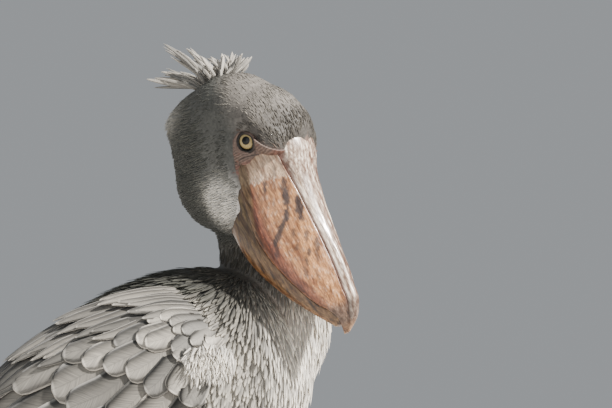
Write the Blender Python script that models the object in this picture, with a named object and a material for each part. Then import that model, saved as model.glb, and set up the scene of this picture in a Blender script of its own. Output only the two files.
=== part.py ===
"""A life-size shoebill, standing at rest with its neck drawn in and its bill lowered.

Units are metres, +Z is up, the body faces +X and the bird's right side faces -Y. Places are
first worked out from the right eye, as x forward, y to the left and z up, and the finished
bird is then moved so that its box stands centred on the origin.
"""

import math

import bmesh
import bpy
import numpy as np
from mathutils import Matrix, Vector

# Driving sizes.
EYE_HEIGHT = 0.950
GAP = 0.0003
BILL_DIP = math.radians(58.3)
HEAD_TURN = math.radians(35.0)
HEAD_MIDDLE = Vector((0.0304, -0.035, EYE_HEIGHT))
EYE_RADIUS = 0.0130
EYE_OUT = 0.0412
LID_RING = 0.0108
LID_ROLL = 0.0027
LID_OUT = 0.0080
MIDDLE_TOE = 0.150
VANE_THICKNESS = 0.0010
VANE_EDGE = 0.0006

# The head's own axes: along the bill, towards the crown, and out to the bird's right.
FORWARD = Vector((
    math.cos(BILL_DIP) * math.cos(HEAD_TURN),
    -math.cos(BILL_DIP) * math.sin(HEAD_TURN),
    -math.sin(BILL_DIP),
))
CROWNWARD = Vector((
    math.sin(BILL_DIP) * math.cos(HEAD_TURN),
    -math.sin(BILL_DIP) * math.sin(HEAD_TURN),
    math.cos(BILL_DIP),
))
RIGHTWARD = FORWARD.cross(CROWNWARD)
HEAD_AXES = np.array([FORWARD, CROWNWARD, RIGHTWARD])

# Colour, roughness and metallic value of each finish.
FINISHES = {
    "slate_feathers": ((0.23, 0.23, 0.23, 1.0), 0.85, 0.0),
    "pale_feathers": ((0.36, 0.35, 0.34, 1.0), 0.85, 0.0),
    "horn": ((0.55, 0.33, 0.24, 1.0), 0.42, 0.0),
    "iris": ((0.62, 0.50, 0.26, 1.0), 0.08, 0.0),
    "leg_skin": ((0.10, 0.10, 0.10, 1.0), 0.65, 0.0),
    "claw": ((0.035, 0.032, 0.030, 1.0), 0.40, 0.0),
}

# Rounded forms of the head, each as its middle and half sizes along the head's axes.
HEAD_FORMS = (
    ((-0.040, -0.008, 0.0), (0.056, 0.042, 0.050)),
    ((-0.020, 0.012, 0.0), (0.045, 0.042, 0.044)),
    ((0.001, 0.0245, 0.0), (0.034, 0.035, 0.037)),
    ((-0.057, -0.030, 0.0), (0.050, 0.045, 0.049)),
    ((-0.010, -0.028, 0.0), (0.042, 0.042, 0.053)),
    ((-0.044, -0.064, 0.0), (0.064, 0.058, 0.055)),
    ((0.006, -0.090, 0.0), (0.061, 0.050, 0.053)),
    ((-0.004, 0.0175, 0.037), (0.028, 0.0115, 0.0150)),
    ((-0.004, 0.0175, -0.037), (0.028, 0.0115, 0.0150)),
)
HEAD_MERGE = 0.006
HEAD_GRID = (28, 17)
HEAD_CORE = (-0.022, -0.030, 0.0)

# Where the bill's sections lie ahead of the eye, and where its lower half ends.
BILL_STATIONS = (-0.002, 0.018, 0.034, 0.052, 0.070, 0.088, 0.106, 0.124, 0.142, 0.160, 0.178, 0.194,
                 0.208, 0.220, 0.230, 0.2375, 0.2435, 0.2480, 0.2500)
LOWER_BILL_END = 0.240
MOUTH = 0.0006

# Bill stations: distance ahead of the eye, then heights above it and half widths.
BILL_RIDGE = ((-0.010, 0.0480), (0.034, 0.0445), (0.060, 0.0335), (0.093, 0.0262), (0.152, 0.0200),
              (0.204, 0.0135), (0.229, 0.0070), (0.243, -0.0060), (0.2500, -0.0200))
BILL_EDGE = ((-0.010, -0.0260), (0.019, -0.0285), (0.067, -0.0400), (0.104, -0.0465), (0.130, -0.0445),
             (0.178, -0.0347), (0.207, -0.0272), (0.232, -0.0180), (0.2500, -0.0260))
BILL_KEEL = ((-0.010, -0.0640), (0.038, -0.0765), (0.083, -0.0810), (0.110, -0.0800), (0.139, -0.0735),
             (0.183, -0.0564), (0.213, -0.0425), (0.238, -0.0300))
BILL_WIDE = ((-0.010, 0.0460), (0.034, 0.0500), (0.104, 0.0520), (0.150, 0.0485), (0.190, 0.0375),
             (0.220, 0.0215), (0.238, 0.0105), (0.2500, 0.0030))
RIDGE_WIDE = ((-0.010, 0.0210), (0.034, 0.0195), (0.100, 0.0135), (0.160, 0.0105), (0.215, 0.0085),
              (0.238, 0.0066), (0.2500, 0.0020))
RIDGE_TALL = ((-0.010, 0.0200), (0.034, 0.0210), (0.070, 0.0150), (0.150, 0.0105), (0.210, 0.0110),
              (0.238, 0.0090), (0.2500, 0.0030))

# Oval sections of the trunk, neck, wing and leg: x, y, z from the eye, half depth, half width.
TRUNK = (
    (0.084, 0, -0.270, 0.016, 0.016), (0.072, 0, -0.268, 0.058, 0.056), (0.030, 0, -0.264, 0.112, 0.098),
    (-0.040, 0, -0.282, 0.138, 0.122), (-0.120, 0, -0.322, 0.146, 0.128), (-0.198, 0, -0.370, 0.128, 0.116),
    (-0.268, 0, -0.418, 0.098, 0.090), (-0.330, 0, -0.460, 0.064, 0.060), (-0.372, 0, -0.490, 0.035, 0.040),
    (-0.384, 0, -0.499, 0.010, 0.014),
)
NECK = (
    (-0.010, 0.000, -0.050, 0.042, 0.040), (0.004, 0.014, -0.105, 0.040, 0.043),
    (0.020, 0.013, -0.150, 0.054, 0.053), (0.036, 0.007, -0.200, 0.066, 0.066),
    (0.030, 0.000, -0.250, 0.062, 0.076), (0.020, 0.000, -0.290, 0.050, 0.060),
)
WING = (
    (0.010, 0, -0.246, 0.088, 0.094), (-0.046, 0, -0.274, 0.142, 0.134), (-0.125, 0, -0.318, 0.150, 0.142),
    (-0.200, 0, -0.364, 0.138, 0.132), (-0.275, 0, -0.420, 0.112, 0.108), (-0.350, 0, -0.468, 0.086, 0.080),
    (-0.430, 0, -0.520, 0.064, 0.056), (-0.510, 0, -0.570, 0.048, 0.038), (-0.590, 0, -0.617, 0.034, 0.022),
)
# The folded wing's upper and lower borders, in degrees from the bird's back, from wrist to tip.
WING_TOP = (40.0, 30.0, 20.0, 12.0, 9.0, 9.5, 11.0, 16.0, 24.0)
WING_LOW = (96.0, 112.0, 118.0, 115.0, 108.0, 100.0, 92.0, 86.0, 80.0)
THIGH = (
    (-0.085, 0.060, -0.370, 0.052, 0.044), (-0.094, 0.064, -0.440, 0.050, 0.040),
    (-0.106, 0.069, -0.505, 0.040, 0.032), (-0.118, 0.073, -0.562, 0.028, 0.023),
    (-0.126, 0.075, -0.606, 0.018, 0.016), (-0.130, 0.075, -0.634, 0.0115, 0.0105),
)
SHANK = (
    (-0.129, 0.075, -0.600, 0.0080, 0.0075), (-0.133, 0.075, -0.655, 0.0090, 0.0085),
    (-0.137, 0.076, -0.686, 0.0135, 0.0120), (-0.134, 0.076, -0.712, 0.0100, 0.0090),
    (-0.126, 0.077, -0.790, 0.0080, 0.0072), (-0.115, 0.078, -0.870, 0.0082, 0.0075),
    (-0.108, 0.079, -0.912, 0.0110, 0.0115), (-0.104, 0.079, -0.934, 0.0130, 0.0135),
    (-0.102, 0.079, -0.9465, 0.0090, 0.0095),
)
FOOT_MIDDLE = (-0.104, 0.079)

# How much of the way along the wing its fleshy core reaches, and how deep its feathers lie.
WING_CORE_END = 0.60
WING_CORE_DEPTH = 0.0060
ROOT_DEPTH = 0.0030
ROOT_RISE = 0.0008

# Tiers of wing feathers, lowest first: how many, then for the lowest and the highest feather where
# its root and its tip lie along the wing and across it, then half width, the tip's height over the
# core, how much higher each feather lies than the last, and the vane's shape.
WING_TIERS = {
    "primaries": (4, (0.50, 0.72, 0.88, 0.72), (0.55, 0.48, 1.00, 0.42), 0.0150, -0.0040, 0.0014, "pointed"),
    "secondaries": (6, (0.33, 0.90, 0.60, 0.97), (0.45, 0.28, 0.92, 0.26), 0.0180, 0.0024, 0.0010, "pointed"),
    "greater_coverts": (6, (0.20, 0.90, 0.39, 0.97), (0.34, 0.36, 0.56, 0.38), 0.0200, 0.0055, 0.0, "rounded"),
    "median_coverts": (6, (0.11, 0.86, 0.28, 0.92), (0.24, 0.33, 0.45, 0.34), 0.0195, 0.0055, 0.0, "rounded"),
    "lesser_coverts": (5, (0.04, 0.76, 0.18, 0.84), (0.13, 0.33, 0.33, 0.33), 0.0175, 0.0058, 0.0, "rounded"),
    "tertials": (3, (0.30, 0.19, 0.68, 0.20), (0.36, 0.03, 0.78, 0.06), 0.0130, 0.0072, 0.0016, "pointed"),
    "scapulars": (4, (0.09, 0.20, 0.34, 0.21), (0.12, 0.03, 0.42, 0.04), 0.0112, 0.0086, 0.0010, "pointed"),
}

# Share of a vane's half width from root to tip.
VANE_SHAPES = {
    "rounded": ((0.0, 0.26), (0.10, 0.36), (0.48, 0.96), (0.84, 0.92), (1.0, 0.36)),
    "pointed": ((0.0, 0.26), (0.08, 0.34), (0.42, 1.0), (0.78, 0.74), (1.0, 0.13)),
}

# The tail's root and tip, and its twelve feathers' spread at each.
TAIL_ROOT = (-0.352, 0.0, -0.480)
TAIL_TIP = (-0.571, 0.0, -0.627)
TAIL_FEATHERS = 12
TAIL_SPREAD = (0.018, 0.052)

# Crest feathers: where on the head's rear crown each grows, along the head's axes, its tip from the
# eye in x, y, z, and its half width.
CREST = (
    ((-0.093, -0.020, 0.005), (-0.0965, 0.022, 0.1165), 0.0046),
    ((-0.092, -0.018, -0.006), (-0.0695, 0.020, 0.1110), 0.0042),
    ((-0.098, -0.034, 0.008), (-0.1170, 0.026, 0.0745), 0.0044),
    ((-0.097, -0.032, -0.006), (-0.1000, 0.036, 0.0835), 0.0042),
    ((-0.088, -0.012, 0.010), (-0.0500, 0.004, 0.1000), 0.0046),
    ((-0.087, -0.010, -0.009), (-0.0400, 0.034, 0.1010), 0.0046),
    ((-0.081, -0.001, 0.005), (-0.0270, 0.012, 0.1045), 0.0042),
    ((-0.080, 0.000, -0.006), (-0.0200, 0.026, 0.1025), 0.0040),
    ((-0.074, 0.008, 0.004), (-0.0025, 0.004, 0.1045), 0.0038),
    ((-0.073, 0.009, -0.004), (0.0085, 0.012, 0.1010), 0.0038),
)
CREST_DEPTH = 0.004

# Each toe's heading outwards from straight ahead, in degrees, and its share of the middle toe.
TOES = {"inner": (-27.0, 0.78), "middle": (2.0, 1.0), "outer": (31.0, 0.84), "hind": (172.0, 0.52)}


def clear_scene():
    for old in list(bpy.data.objects):
        bpy.data.objects.remove(old)


def finish(name):
    colour, roughness, metallic = FINISHES[name]
    made = bpy.data.materials.get(name)
    if made:
        return made
    made = bpy.data.materials.new(name)
    made.use_nodes = True
    shader = made.node_tree.nodes["Principled BSDF"]
    shader.inputs["Base Color"].default_value = colour
    shader.inputs["Roughness"].default_value = roughness
    shader.inputs["Metallic"].default_value = metallic
    return made


def solid(name, points, faces, material="slate_feathers"):
    """An object with this closed mesh, its faces turned outwards."""
    mesh = bpy.data.meshes.new(name)
    mesh.from_pydata([tuple(map(float, p)) for p in points], [], faces)
    work = bmesh.new()
    work.from_mesh(mesh)
    bmesh.ops.triangulate(work, faces=work.faces)
    bmesh.ops.recalc_face_normals(work, faces=work.faces)
    work.to_mesh(mesh)
    work.free()
    made = bpy.data.objects.new(name, mesh)
    bpy.context.scene.collection.objects.link(made)
    mesh.materials.append(finish(material))
    return made


def loft(name, rings, material="slate_feathers"):
    """A closed solid through rings of as many points each, with its two ends filled."""
    count = len(rings[0])
    points = [p for ring in rings for p in ring]
    faces = []
    for k in range(len(rings) - 1):
        for i in range(count):
            j = (i + 1) % count
            faces.append((k * count + i, k * count + j, (k + 1) * count + j, (k + 1) * count + i))
    faces.append(tuple(range(count)))
    faces.append(tuple(range((len(rings) - 1) * count, len(rings) * count)))
    return solid(name, points, faces, material)


def boolean(target, operation, others, solver="EXACT"):
    """Joins the others to the target or cuts them from it, then removes them."""
    group = bpy.data.collections.new("pieces")
    bpy.context.scene.collection.children.link(group)
    for other in others:
        group.objects.link(other)
    change = target.modifiers.new("change", "BOOLEAN")
    change.operation = operation
    change.operand_type = "COLLECTION"
    change.collection = group
    change.solver = solver
    bpy.context.view_layer.update()
    graph = bpy.context.evaluated_depsgraph_get()
    mesh = bpy.data.meshes.new_from_object(target.evaluated_get(graph))
    target.modifiers.clear()
    target.data = mesh
    for other in others:
        bpy.data.objects.remove(other)
    bpy.data.collections.remove(group)
    return target


def keep_largest(target):
    """Drops every closed surface of the mesh but the one that spans the largest box."""
    work = bmesh.new()
    work.from_mesh(target.data)
    left, shells = set(work.verts), []
    while left:
        shell, front = set(), [left.pop()]
        while front:
            vert = front.pop()
            shell.add(vert)
            for edge in vert.link_edges:
                other = edge.other_vert(vert)
                if other in left:
                    left.remove(other)
                    front.append(other)
        shells.append(shell)

    def spread(shell):
        spots = np.array([v.co for v in shell])
        return float(np.prod(np.ptp(spots, axis=0) + GAP))

    largest = max(shells, key=spread)
    bmesh.ops.delete(work, geom=[v for v in work.verts if v not in largest], context="VERTS")
    work.to_mesh(target.data)
    work.free()
    return target


def along(table, at):
    """A smooth value at a place, from pairs of place and value."""
    places = np.array([row[0] for row in table])
    values = np.array([row[1] for row in table])
    slopes = np.gradient(values, places)
    k = int(np.clip(np.searchsorted(places, at) - 1, 0, len(places) - 2))
    span = places[k + 1] - places[k]
    s = float(np.clip((at - places[k]) / span, 0.0, 1.0))
    return float(
        (2 * s**3 - 3 * s**2 + 1) * values[k] + (s**3 - 2 * s**2 + s) * span * slopes[k]
        + (3 * s**2 - 2 * s**3) * values[k + 1] + (s**3 - s**2) * span * slopes[k + 1]
    )


class Spine:
    """Oval sections on a bent line. Angle 0 is the bird's back, 90 its right side, 180 its belly."""

    def __init__(self, rows, squareness=2.0):
        self.columns = [
            [(k / (len(rows) - 1), row[c]) for k, row in enumerate(rows)] for c in range(5)
        ]
        self.squareness = squareness

    def section(self, t):
        return [along(column, t) for column in self.columns]

    def frame(self, t):
        x, y, z, depth, width = self.section(t)
        step = 0.002
        ahead, behind = self.section(min(1.0, t + step)), self.section(max(0.0, t - step))
        run = Vector(ahead[:3]) - Vector(behind[:3])
        back = Vector((run.z, 0.0, -run.x)).normalized()
        return Vector((x, y, z + EYE_HEIGHT)), back, depth, width

    def point(self, t, degrees, grow=0.0):
        middle, back, depth, width = self.frame(t)
        angle = math.radians(degrees)
        c, s = math.cos(angle), math.sin(angle)
        power = 2.0 / self.squareness
        up = math.copysign(abs(c) ** power, c) * (depth + grow)
        out = math.copysign(abs(s) ** power, s) * (width + grow)
        return middle + back * up + Vector((0.0, -out, 0.0))

    def solid(self, name, stations, sides, grow=0.0, material="slate_feathers"):
        rings = [
            [self.point(k / (stations - 1), 360.0 * i / sides, grow) for i in range(sides)]
            for k in range(stations)
        ]
        return loft(name, rings, material)


def to_world(local):
    """Points given along the head's axes, from the head's middle, as places in the model."""
    return np.asarray(local, float) @ HEAD_AXES + np.array(HEAD_MIDDLE)


def head_depth(points):
    """How far each point lies outside the head's merged rounded forms."""
    total = np.zeros(len(points))
    for middle, half in HEAD_FORMS:
        offset = points - np.array(middle)
        near = np.linalg.norm(offset / np.array(half), axis=1)
        steep = np.linalg.norm(offset / np.array(half) ** 2, axis=1)
        total += np.exp(-near * (near - 1.0) / np.maximum(steep, 1e-9) / HEAD_MERGE)
    return -HEAD_MERGE * np.log(total)


def head_surface(directions, grow):
    """Where rays from the head's core leave it."""
    core = np.array(HEAD_CORE)
    inner, outer = np.full(len(directions), 0.01), np.full(len(directions), 0.20)
    for _ in range(30):
        middle = (inner + outer) / 2
        inside = head_depth(core + directions * middle[:, None]) < grow
        inner, outer = np.where(inside, middle, inner), np.where(inside, outer, middle)
    return core + directions * inner[:, None]


def head_core(name, around, rings, grow=0.0):
    """The bare head, as a ball whose poles lie along the bill, drawn out to the head's forms."""
    directions = [(1.0, 0.0, 0.0)]
    for k in range(1, rings):
        tilt = math.pi * k / rings
        for i in range(around):
            turn = 2 * math.pi * i / around
            directions.append((
                math.cos(tilt), math.sin(tilt) * math.cos(turn), math.sin(tilt) * math.sin(turn)))
    directions.append((-1.0, 0.0, 0.0))
    points = to_world(head_surface(np.array(directions), grow))
    faces = []
    for i in range(around):
        j = (i + 1) % around
        faces.append((0, 1 + i, 1 + j))
        for k in range(rings - 2):
            a, b = 1 + k * around, 1 + (k + 1) * around
            faces.append((a + i, b + i, b + j, a + j))
        last = 1 + (rings - 2) * around
        faces.append((last + i, len(points) - 1, last + j))
    return solid(name, points, faces)


def ball(name, middle, radius, segments, rings, material="slate_feathers"):
    points, faces = [], []
    for k in range(rings + 1):
        tilt = math.pi * k / rings
        for i in range(segments if 0 < k < rings else 1):
            turn = 2 * math.pi * i / segments
            points.append(Vector(middle) + radius * Vector((
                math.sin(tilt) * math.cos(turn), math.sin(tilt) * math.sin(turn), math.cos(tilt))))
    for i in range(segments):
        j = (i + 1) % segments
        faces.append((0, 1 + i, 1 + j))
        for k in range(rings - 2):
            a, b = 1 + k * segments, 1 + (k + 1) * segments
            faces.append((a + i, b + i, b + j, a + j))
        last = 1 + (rings - 2) * segments
        faces.append((last + i, len(points) - 1, last + j))
    return solid(name, points, faces, material)


def eye_middle(side):
    return Vector(to_world([(0.0, 0.0, side * EYE_OUT)])[0])


def eye(name, side, grow=0.0):
    return ball(name, eye_middle(side), EYE_RADIUS + grow, 14, 7, "iris")


def lid_clear(side):
    """The room that an eye with its lids takes, to cut from the bill."""
    return ball("cut", eye_middle(side), EYE_RADIUS + LID_ROLL, 10, 6)


def upper_ring(a, grow=0.0):
    """The upper bill's section: a raised ridge, a groove each side, bulging walls, a flat palate."""
    ridge, edge = along(BILL_RIDGE, a) + grow, along(BILL_EDGE, a) - grow
    wide = along(BILL_WIDE, a) + grow
    strip = min(along(RIDGE_WIDE, a), 0.8 * wide)
    groove = ridge - min(along(RIDGE_TALL, a), 0.6 * (ridge - edge))
    wall = groove - edge
    right = (
        (0.0, ridge), (0.50 * strip, ridge - 0.12 * (ridge - groove)),
        (0.90 * strip, ridge - 0.55 * (ridge - groove)), (strip, groove),
        (strip + 0.16 * (wide - strip), groove - 0.06 * wall),
        (strip + 0.56 * (wide - strip), edge + 0.64 * wall),
        (strip + 0.88 * (wide - strip), edge + 0.30 * wall),
        (wide, edge + 0.05 * wall), (0.97 * wide, edge),
    )
    section = list(right) + [(0.0, edge)] + [(-c, b) for c, b in right[:0:-1]]
    return to_world([(a, b, c) for c, b in section])


def lower_ring(a, grow=0.0):
    """The lower bill's section: upright sides that turn in to a flat underside."""
    top, keel = along(BILL_EDGE, a) - MOUTH + grow, along(BILL_KEEL, a) - grow
    wide = 0.94 * along(BILL_WIDE, a) + grow
    deep = top - keel
    right = (
        (0.0, top), (0.85 * wide, top), (wide, top - 0.06 * deep), (0.985 * wide, keel + 0.50 * deep),
        (0.88 * wide, keel + 0.14 * deep), (0.64 * wide, keel), (0.30 * wide, keel + 0.05 * deep),
    )
    section = list(right) + [(0.0, keel + 0.08 * deep)] + [(-c, b) for c, b in right[:0:-1]]
    return to_world([(a, b, c) for c, b in section])


def bill_upper(name="bill_upper", grow=0.0):
    return loft(name, [upper_ring(a, grow) for a in BILL_STATIONS], "horn")


def bill_lower(name="bill_lower", grow=0.0):
    rings = [lower_ring(a, grow) for a in BILL_STATIONS if a < LOWER_BILL_END]
    return loft(name, rings, "horn")


def vane(centres, ups, halves, tilt=0.0, arches=None):
    """One feather's vane along a bent line, flat across or arched, split alike on both faces."""
    points, faces = [], []
    last = len(centres) - 1
    for k, (centre, up, half) in enumerate(zip(centres, ups, halves)):
        run = centres[min(k + 1, last)] - centres[max(k - 1, 0)]
        side = run.cross(up).normalized()
        up = side.cross(run).normalized()
        drop = arches[k] * half * half if arches else 0.0
        left = centre + side * half + up * (tilt * half - drop)
        right = centre - side * half - up * (tilt * half + drop)
        edge, middle = up * VANE_EDGE / 2, up * VANE_THICKNESS / 2
        if arches:
            points += [left + edge, centre + middle, right + edge, right - edge, centre - middle, left - edge]
        else:
            points += [left + edge, right + edge, right - edge, left - edge]
    count = len(points) // (last + 1)
    for k in range(last):
        a, b = count * k, count * (k + 1)
        for i in range(count):
            j = (i + 1) % count
            if i < count // 2:
                faces += [(a + i, a + j, b + j), (a + i, b + j, b + i)]
            else:
                faces += [(a + i, a + j, b + i), (a + j, b + j, b + i)]
    for end in (0, count * last):
        faces += [tuple(end + i for i in range(count))]
    return solid("vane", points, faces)


def trunk(name="torso", grow=0.0):
    return Spine(TRUNK, 2.15).solid(name, 14, 22, grow)


def neck(name="neck", grow=0.0):
    return Spine(NECK).solid(name, 9, 18, grow)


def wing_point(spine, t, q, height):
    """A place on the right wing: t along it, q across it from its upper border, above its core."""
    steps = len(WING_TOP) - 1
    top = along([(k / steps, v) for k, v in enumerate(WING_TOP)], t)
    low = along([(k / steps, v) for k, v in enumerate(WING_LOW)], t)
    return spine.point(t, top + (low - top) * q, height - WING_CORE_DEPTH)


def wing_core(name, spine, rows=10, columns=6):
    """The fleshy fore part of the right wing: a curved pad over the flank, thin at its borders."""
    outer, inner = [], []
    for k in range(rows):
        for i in range(columns):
            q = i / (columns - 1)
            start = 0.085 * (2 * q - 1.0) ** 2
            t = start + (WING_CORE_END - start) * k / (rows - 1)
            belly = math.sqrt(math.sin(math.pi * (0.03 + 0.94 * q)))
            deep = (0.003 + 0.020 * max(0.0, 1 - 1.9 * t)) * belly
            outer.append(wing_point(spine, t, q, 0.0))
            inner.append(wing_point(spine, t, q, -0.0034 - deep))
    under = len(outer)
    faces = []
    for k in range(rows - 1):
        for i in range(columns - 1):
            a, b = k * columns + i, (k + 1) * columns + i
            faces += [(a, a + 1, b + 1), (a, b + 1, b)]
            faces += [(under + a, under + b + 1, under + a + 1), (under + a, under + b, under + b + 1)]
    border = (
        list(range(columns)) + [k * columns + columns - 1 for k in range(1, rows)]
        + [(rows - 1) * columns + i for i in range(columns - 2, -1, -1)]
        + [k * columns for k in range(rows - 2, 0, -1)]
    )
    for a, b in zip(border, border[1:] + border[:1]):
        faces.append((a, b, under + b, under + a))
    return solid(name, outer + inner, faces)


def feather_line(low, high, share, s):
    """Where a tier's feather lies at s along it, between the tier's lowest and highest feathers."""
    row = [a + (b - a) * share for a, b in zip(low, high)]
    return row[0] + (row[2] - row[0]) * s, row[1] + (row[3] - row[1]) * s


def wing_vanes(spine, count, low, high, half, lift, step, shape):
    """One tier of the right wing, each feather's lower edge over the upper edge of the one below."""
    middles = [wing_point(spine, *feather_line(low, high, i / (count - 1), 0.7), 0.0) for i in range(count)]
    gaps = [(b - a).length for a, b in zip(middles, middles[1:])]
    lag = (high[0] - low[0]) / (count - 1) / (high[2] - high[0]) * (lift - ROOT_RISE)
    slope = min(0.14, (VANE_THICKNESS + 2 * GAP + max(lag, 0.0) - step / 2) / (sum(gaps) / len(gaps)))
    made = []
    for i in range(count):
        centres, ups, halves, arches = [], [], [], []
        for s, share in VANE_SHAPES[shape]:
            t, q = feather_line(low, high, i / (count - 1), s)
            rise = ROOT_RISE + (lift - ROOT_RISE) * s + i * step * s if s > 0 else -ROOT_DEPTH
            centres.append(wing_point(spine, t, q, rise))
            ups.append((wing_point(spine, t, q, rise + 0.01) - centres[-1]).normalized())
            halves.append(half * share)
            arches.append(1.0 / sum(spine.section(t)[3:]))
        made.append(vane(centres, ups, halves, -slope, arches))
    return made


def right_wing():
    spine = Spine(WING)
    wing = wing_core("wing_right", spine)
    vanes = []
    for row in WING_TIERS.values():
        vanes += wing_vanes(spine, *row)
    boolean(wing, "UNION", vanes)
    return keep_largest(wing)


def from_eye(place):
    return Vector((place[0], place[1], place[2] + EYE_HEIGHT))


def tail_feathers():
    """The tail's feathers as a closed fan, the middle ones on top."""
    root, tip = from_eye(TAIL_ROOT), from_eye(TAIL_TIP)
    run = tip - root
    back = Vector((run.z, 0.0, -run.x)).normalized()
    made = []
    for i in range(TAIL_FEATHERS):
        u = (2 * i + 1) / TAIL_FEATHERS - 1.0
        level = 0.0080 * (1.0 - abs(u)) + (0.0007 if u > 0 else 0.0)
        centres, halves = [], []
        for s, share in VANE_SHAPES["rounded"]:
            reach = s * (1.0 - 0.06 * u * u)
            y = u * (TAIL_SPREAD[0] + (TAIL_SPREAD[1] - TAIL_SPREAD[0]) * s)
            centres.append(root + run * reach + Vector((0, y, 0)) + back * (level * min(1.0, 0.3 + s) - 0.004))
            halves.append(0.0150 * share)
        made.append(vane(centres, [back] * len(centres), halves))
    return made


def build_tail():
    root, tip = from_eye(TAIL_ROOT), from_eye(TAIL_TIP)
    run = tip - root
    back = Vector((run.z, 0.0, -run.x)).normalized()
    rings = []
    for share, half, deep in ((-0.03, 0.030, 0.017), (0.10, 0.034, 0.014), (0.22, 0.034, 0.009), (0.33, 0.026, 0.003)):
        rings.append([
            root + run * share + Vector((0, half * math.sin(turn), 0)) + back * deep * math.cos(turn)
            for turn in (2 * math.pi * i / 12 for i in range(12))
        ])
    tail = loft("tail", rings)
    boolean(tail, "UNION", tail_feathers())
    boolean(tail, "DIFFERENCE", [trunk("cut", GAP)])
    return keep_largest(tail)


def crest():
    """The crest, feather by feather, each bent a little and broadside to the bird's right."""
    made = []
    for root, tip, half in CREST:
        outward = np.array(root) - np.array(HEAD_CORE)
        outward /= np.linalg.norm(outward)
        start = Vector(to_world(head_surface(np.array([outward]), -CREST_DEPTH))[0])
        end = from_eye(tip)
        run = end - start
        lean = CROWNWARD * 0.06 * run.length
        centres, halves = [], []
        for s, share in VANE_SHAPES["pointed"]:
            centres.append(start + run * s + lean * math.sin(math.pi * s))
            halves.append(half * (share if s > 0 else 0.8))
        made.append(vane(centres, [Vector((0.1, -1.0, 0.1))] * len(centres), halves))
    return made


def lid(side):
    """The ring of the two lids round an eye."""
    axis = Vector(np.array([0.33, 0.08, side * 0.94]) @ HEAD_AXES).normalized()
    across = axis.cross(CROWNWARD).normalized()
    upward = across.cross(axis)
    middle = eye_middle(side) + axis * LID_OUT
    points, faces = [], []
    around, thick = 14, 5
    for i in range(around):
        turn = 2 * math.pi * i / around
        out = across * math.cos(turn) + upward * math.sin(turn)
        for j in range(thick):
            roll = 2 * math.pi * j / thick
            points.append(middle + out * (LID_RING + LID_ROLL * math.cos(roll)) + axis * LID_ROLL * math.sin(roll))
    for i in range(around):
        for j in range(thick):
            a, b = i * thick, ((i + 1) % around) * thick
            k = (j + 1) % thick
            faces.append((a + j, b + j, b + k, a + k))
    return solid("lid", points, faces)


def leg_points(rows, side):
    return tuple((x, -side * y, z, depth, width) for x, y, z, depth, width in rows)


def toe_ring(middle, heading, radius, low=0.0):
    """A section of a toe: round above, flat below, with its underside at the given height."""
    across = Vector((-math.sin(heading), math.cos(heading), 0.0))
    ring = []
    for i in range(6):
        turn = math.pi * (2 * i + 1) / 6
        height = max(math.sin(turn), -0.5) + 0.5
        ring.append(Vector((middle[0], middle[1], low)) + across * radius * math.cos(turn)
                    + Vector((0, 0, radius * height)))
    return ring


def toe(name, side, kind, grow=0.0):
    """One toe from the foot's middle to the claw's root, with swollen joint pads."""
    heading, share = TOES[kind]
    heading = -side * math.radians(heading)
    length = MIDDLE_TOE * share
    run = Vector((math.cos(heading), math.sin(heading), 0))
    start = Vector((FOOT_MIDDLE[0], -side * FOOT_MIDDLE[1], 0))
    rings = []
    for k in range(9):
        s = k / 8
        radius = (0.0092 - 0.0035 * s) * (1.0 + 0.10 * math.cos(6 * math.pi * s)) + grow
        if k == 8:
            radius *= 0.72
        rings.append(toe_ring(start + run * length * s, heading, radius, -grow))
    return loft(name, rings, "leg_skin")


def claw(name, side, kind):
    heading, share = TOES[kind]
    heading = -side * math.radians(heading)
    run = Vector((math.cos(heading), math.sin(heading), 0))
    start = Vector((FOOT_MIDDLE[0], -side * FOOT_MIDDLE[1], 0)) + run * (MIDDLE_TOE * share + GAP)
    rings = []
    for s, radius, low in ((0, 0.0038, 0.0), (0.35, 0.0034, 0.0012), (0.7, 0.0022, 0.0010), (1, 0.0005, 0.0)):
        rings.append(toe_ring(start + run * 0.022 * s, heading, radius, low))
    return loft(name, rings, "claw")


def build_head():
    head = head_core("head", *HEAD_GRID)
    boolean(head, "UNION", crest() + [lid(1), lid(-1)])
    boolean(head, "DIFFERENCE", [eye("cut", 1, GAP), eye("cut", -1, GAP)])
    keep_largest(head)
    eye("eye_right", 1)
    eye("eye_left", -1)


def nostril(side):
    """The slit of a nostril, at the bill's root in the groove beside its ridge."""
    points = to_world([(0.046, 0.0215, side * 0.0190)])[0]
    slit = ball("cut", (0, 0, 0), 1.0, 8, 4, "horn")
    sizes = Matrix.Diagonal((0.0120, 0.0014, 0.0040, 1.0))
    turn = Matrix([FORWARD, CROWNWARD, RIGHTWARD]).transposed().to_4x4()
    slit.data.transform(Matrix.Translation(Vector(points)) @ turn @ sizes)
    return slit


def build_bill():
    upper, lower = bill_upper(), bill_lower()
    cutters = [head_core("cut", *HEAD_GRID, GAP), nostril(1), nostril(-1)]
    boolean(upper, "DIFFERENCE", cutters + [lid_clear(1), lid_clear(-1)])
    boolean(lower, "DIFFERENCE", [head_core("cut", *HEAD_GRID, GAP)])
    keep_largest(upper)
    keep_largest(lower)


def build_body():
    trunk()
    chest = neck()
    boolean(chest, "DIFFERENCE", [head_core("cut", *HEAD_GRID, GAP), trunk("cut", GAP)])
    boolean(chest, "DIFFERENCE", [bill_lower("cut", 3 * GAP)])
    keep_largest(chest)


def build_wings():
    right = right_wing()
    left = right.copy()
    left.data = right.data.copy()
    left.name = "wing_left"
    bpy.context.scene.collection.objects.link(left)
    left.data.transform(Matrix.Diagonal((1.0, -1.0, 1.0, 1.0)))
    left.data.flip_normals()
    for wing in (right, left):
        boolean(wing, "DIFFERENCE", [trunk("cut", GAP), neck("cut", GAP)])
        keep_largest(wing)


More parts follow.
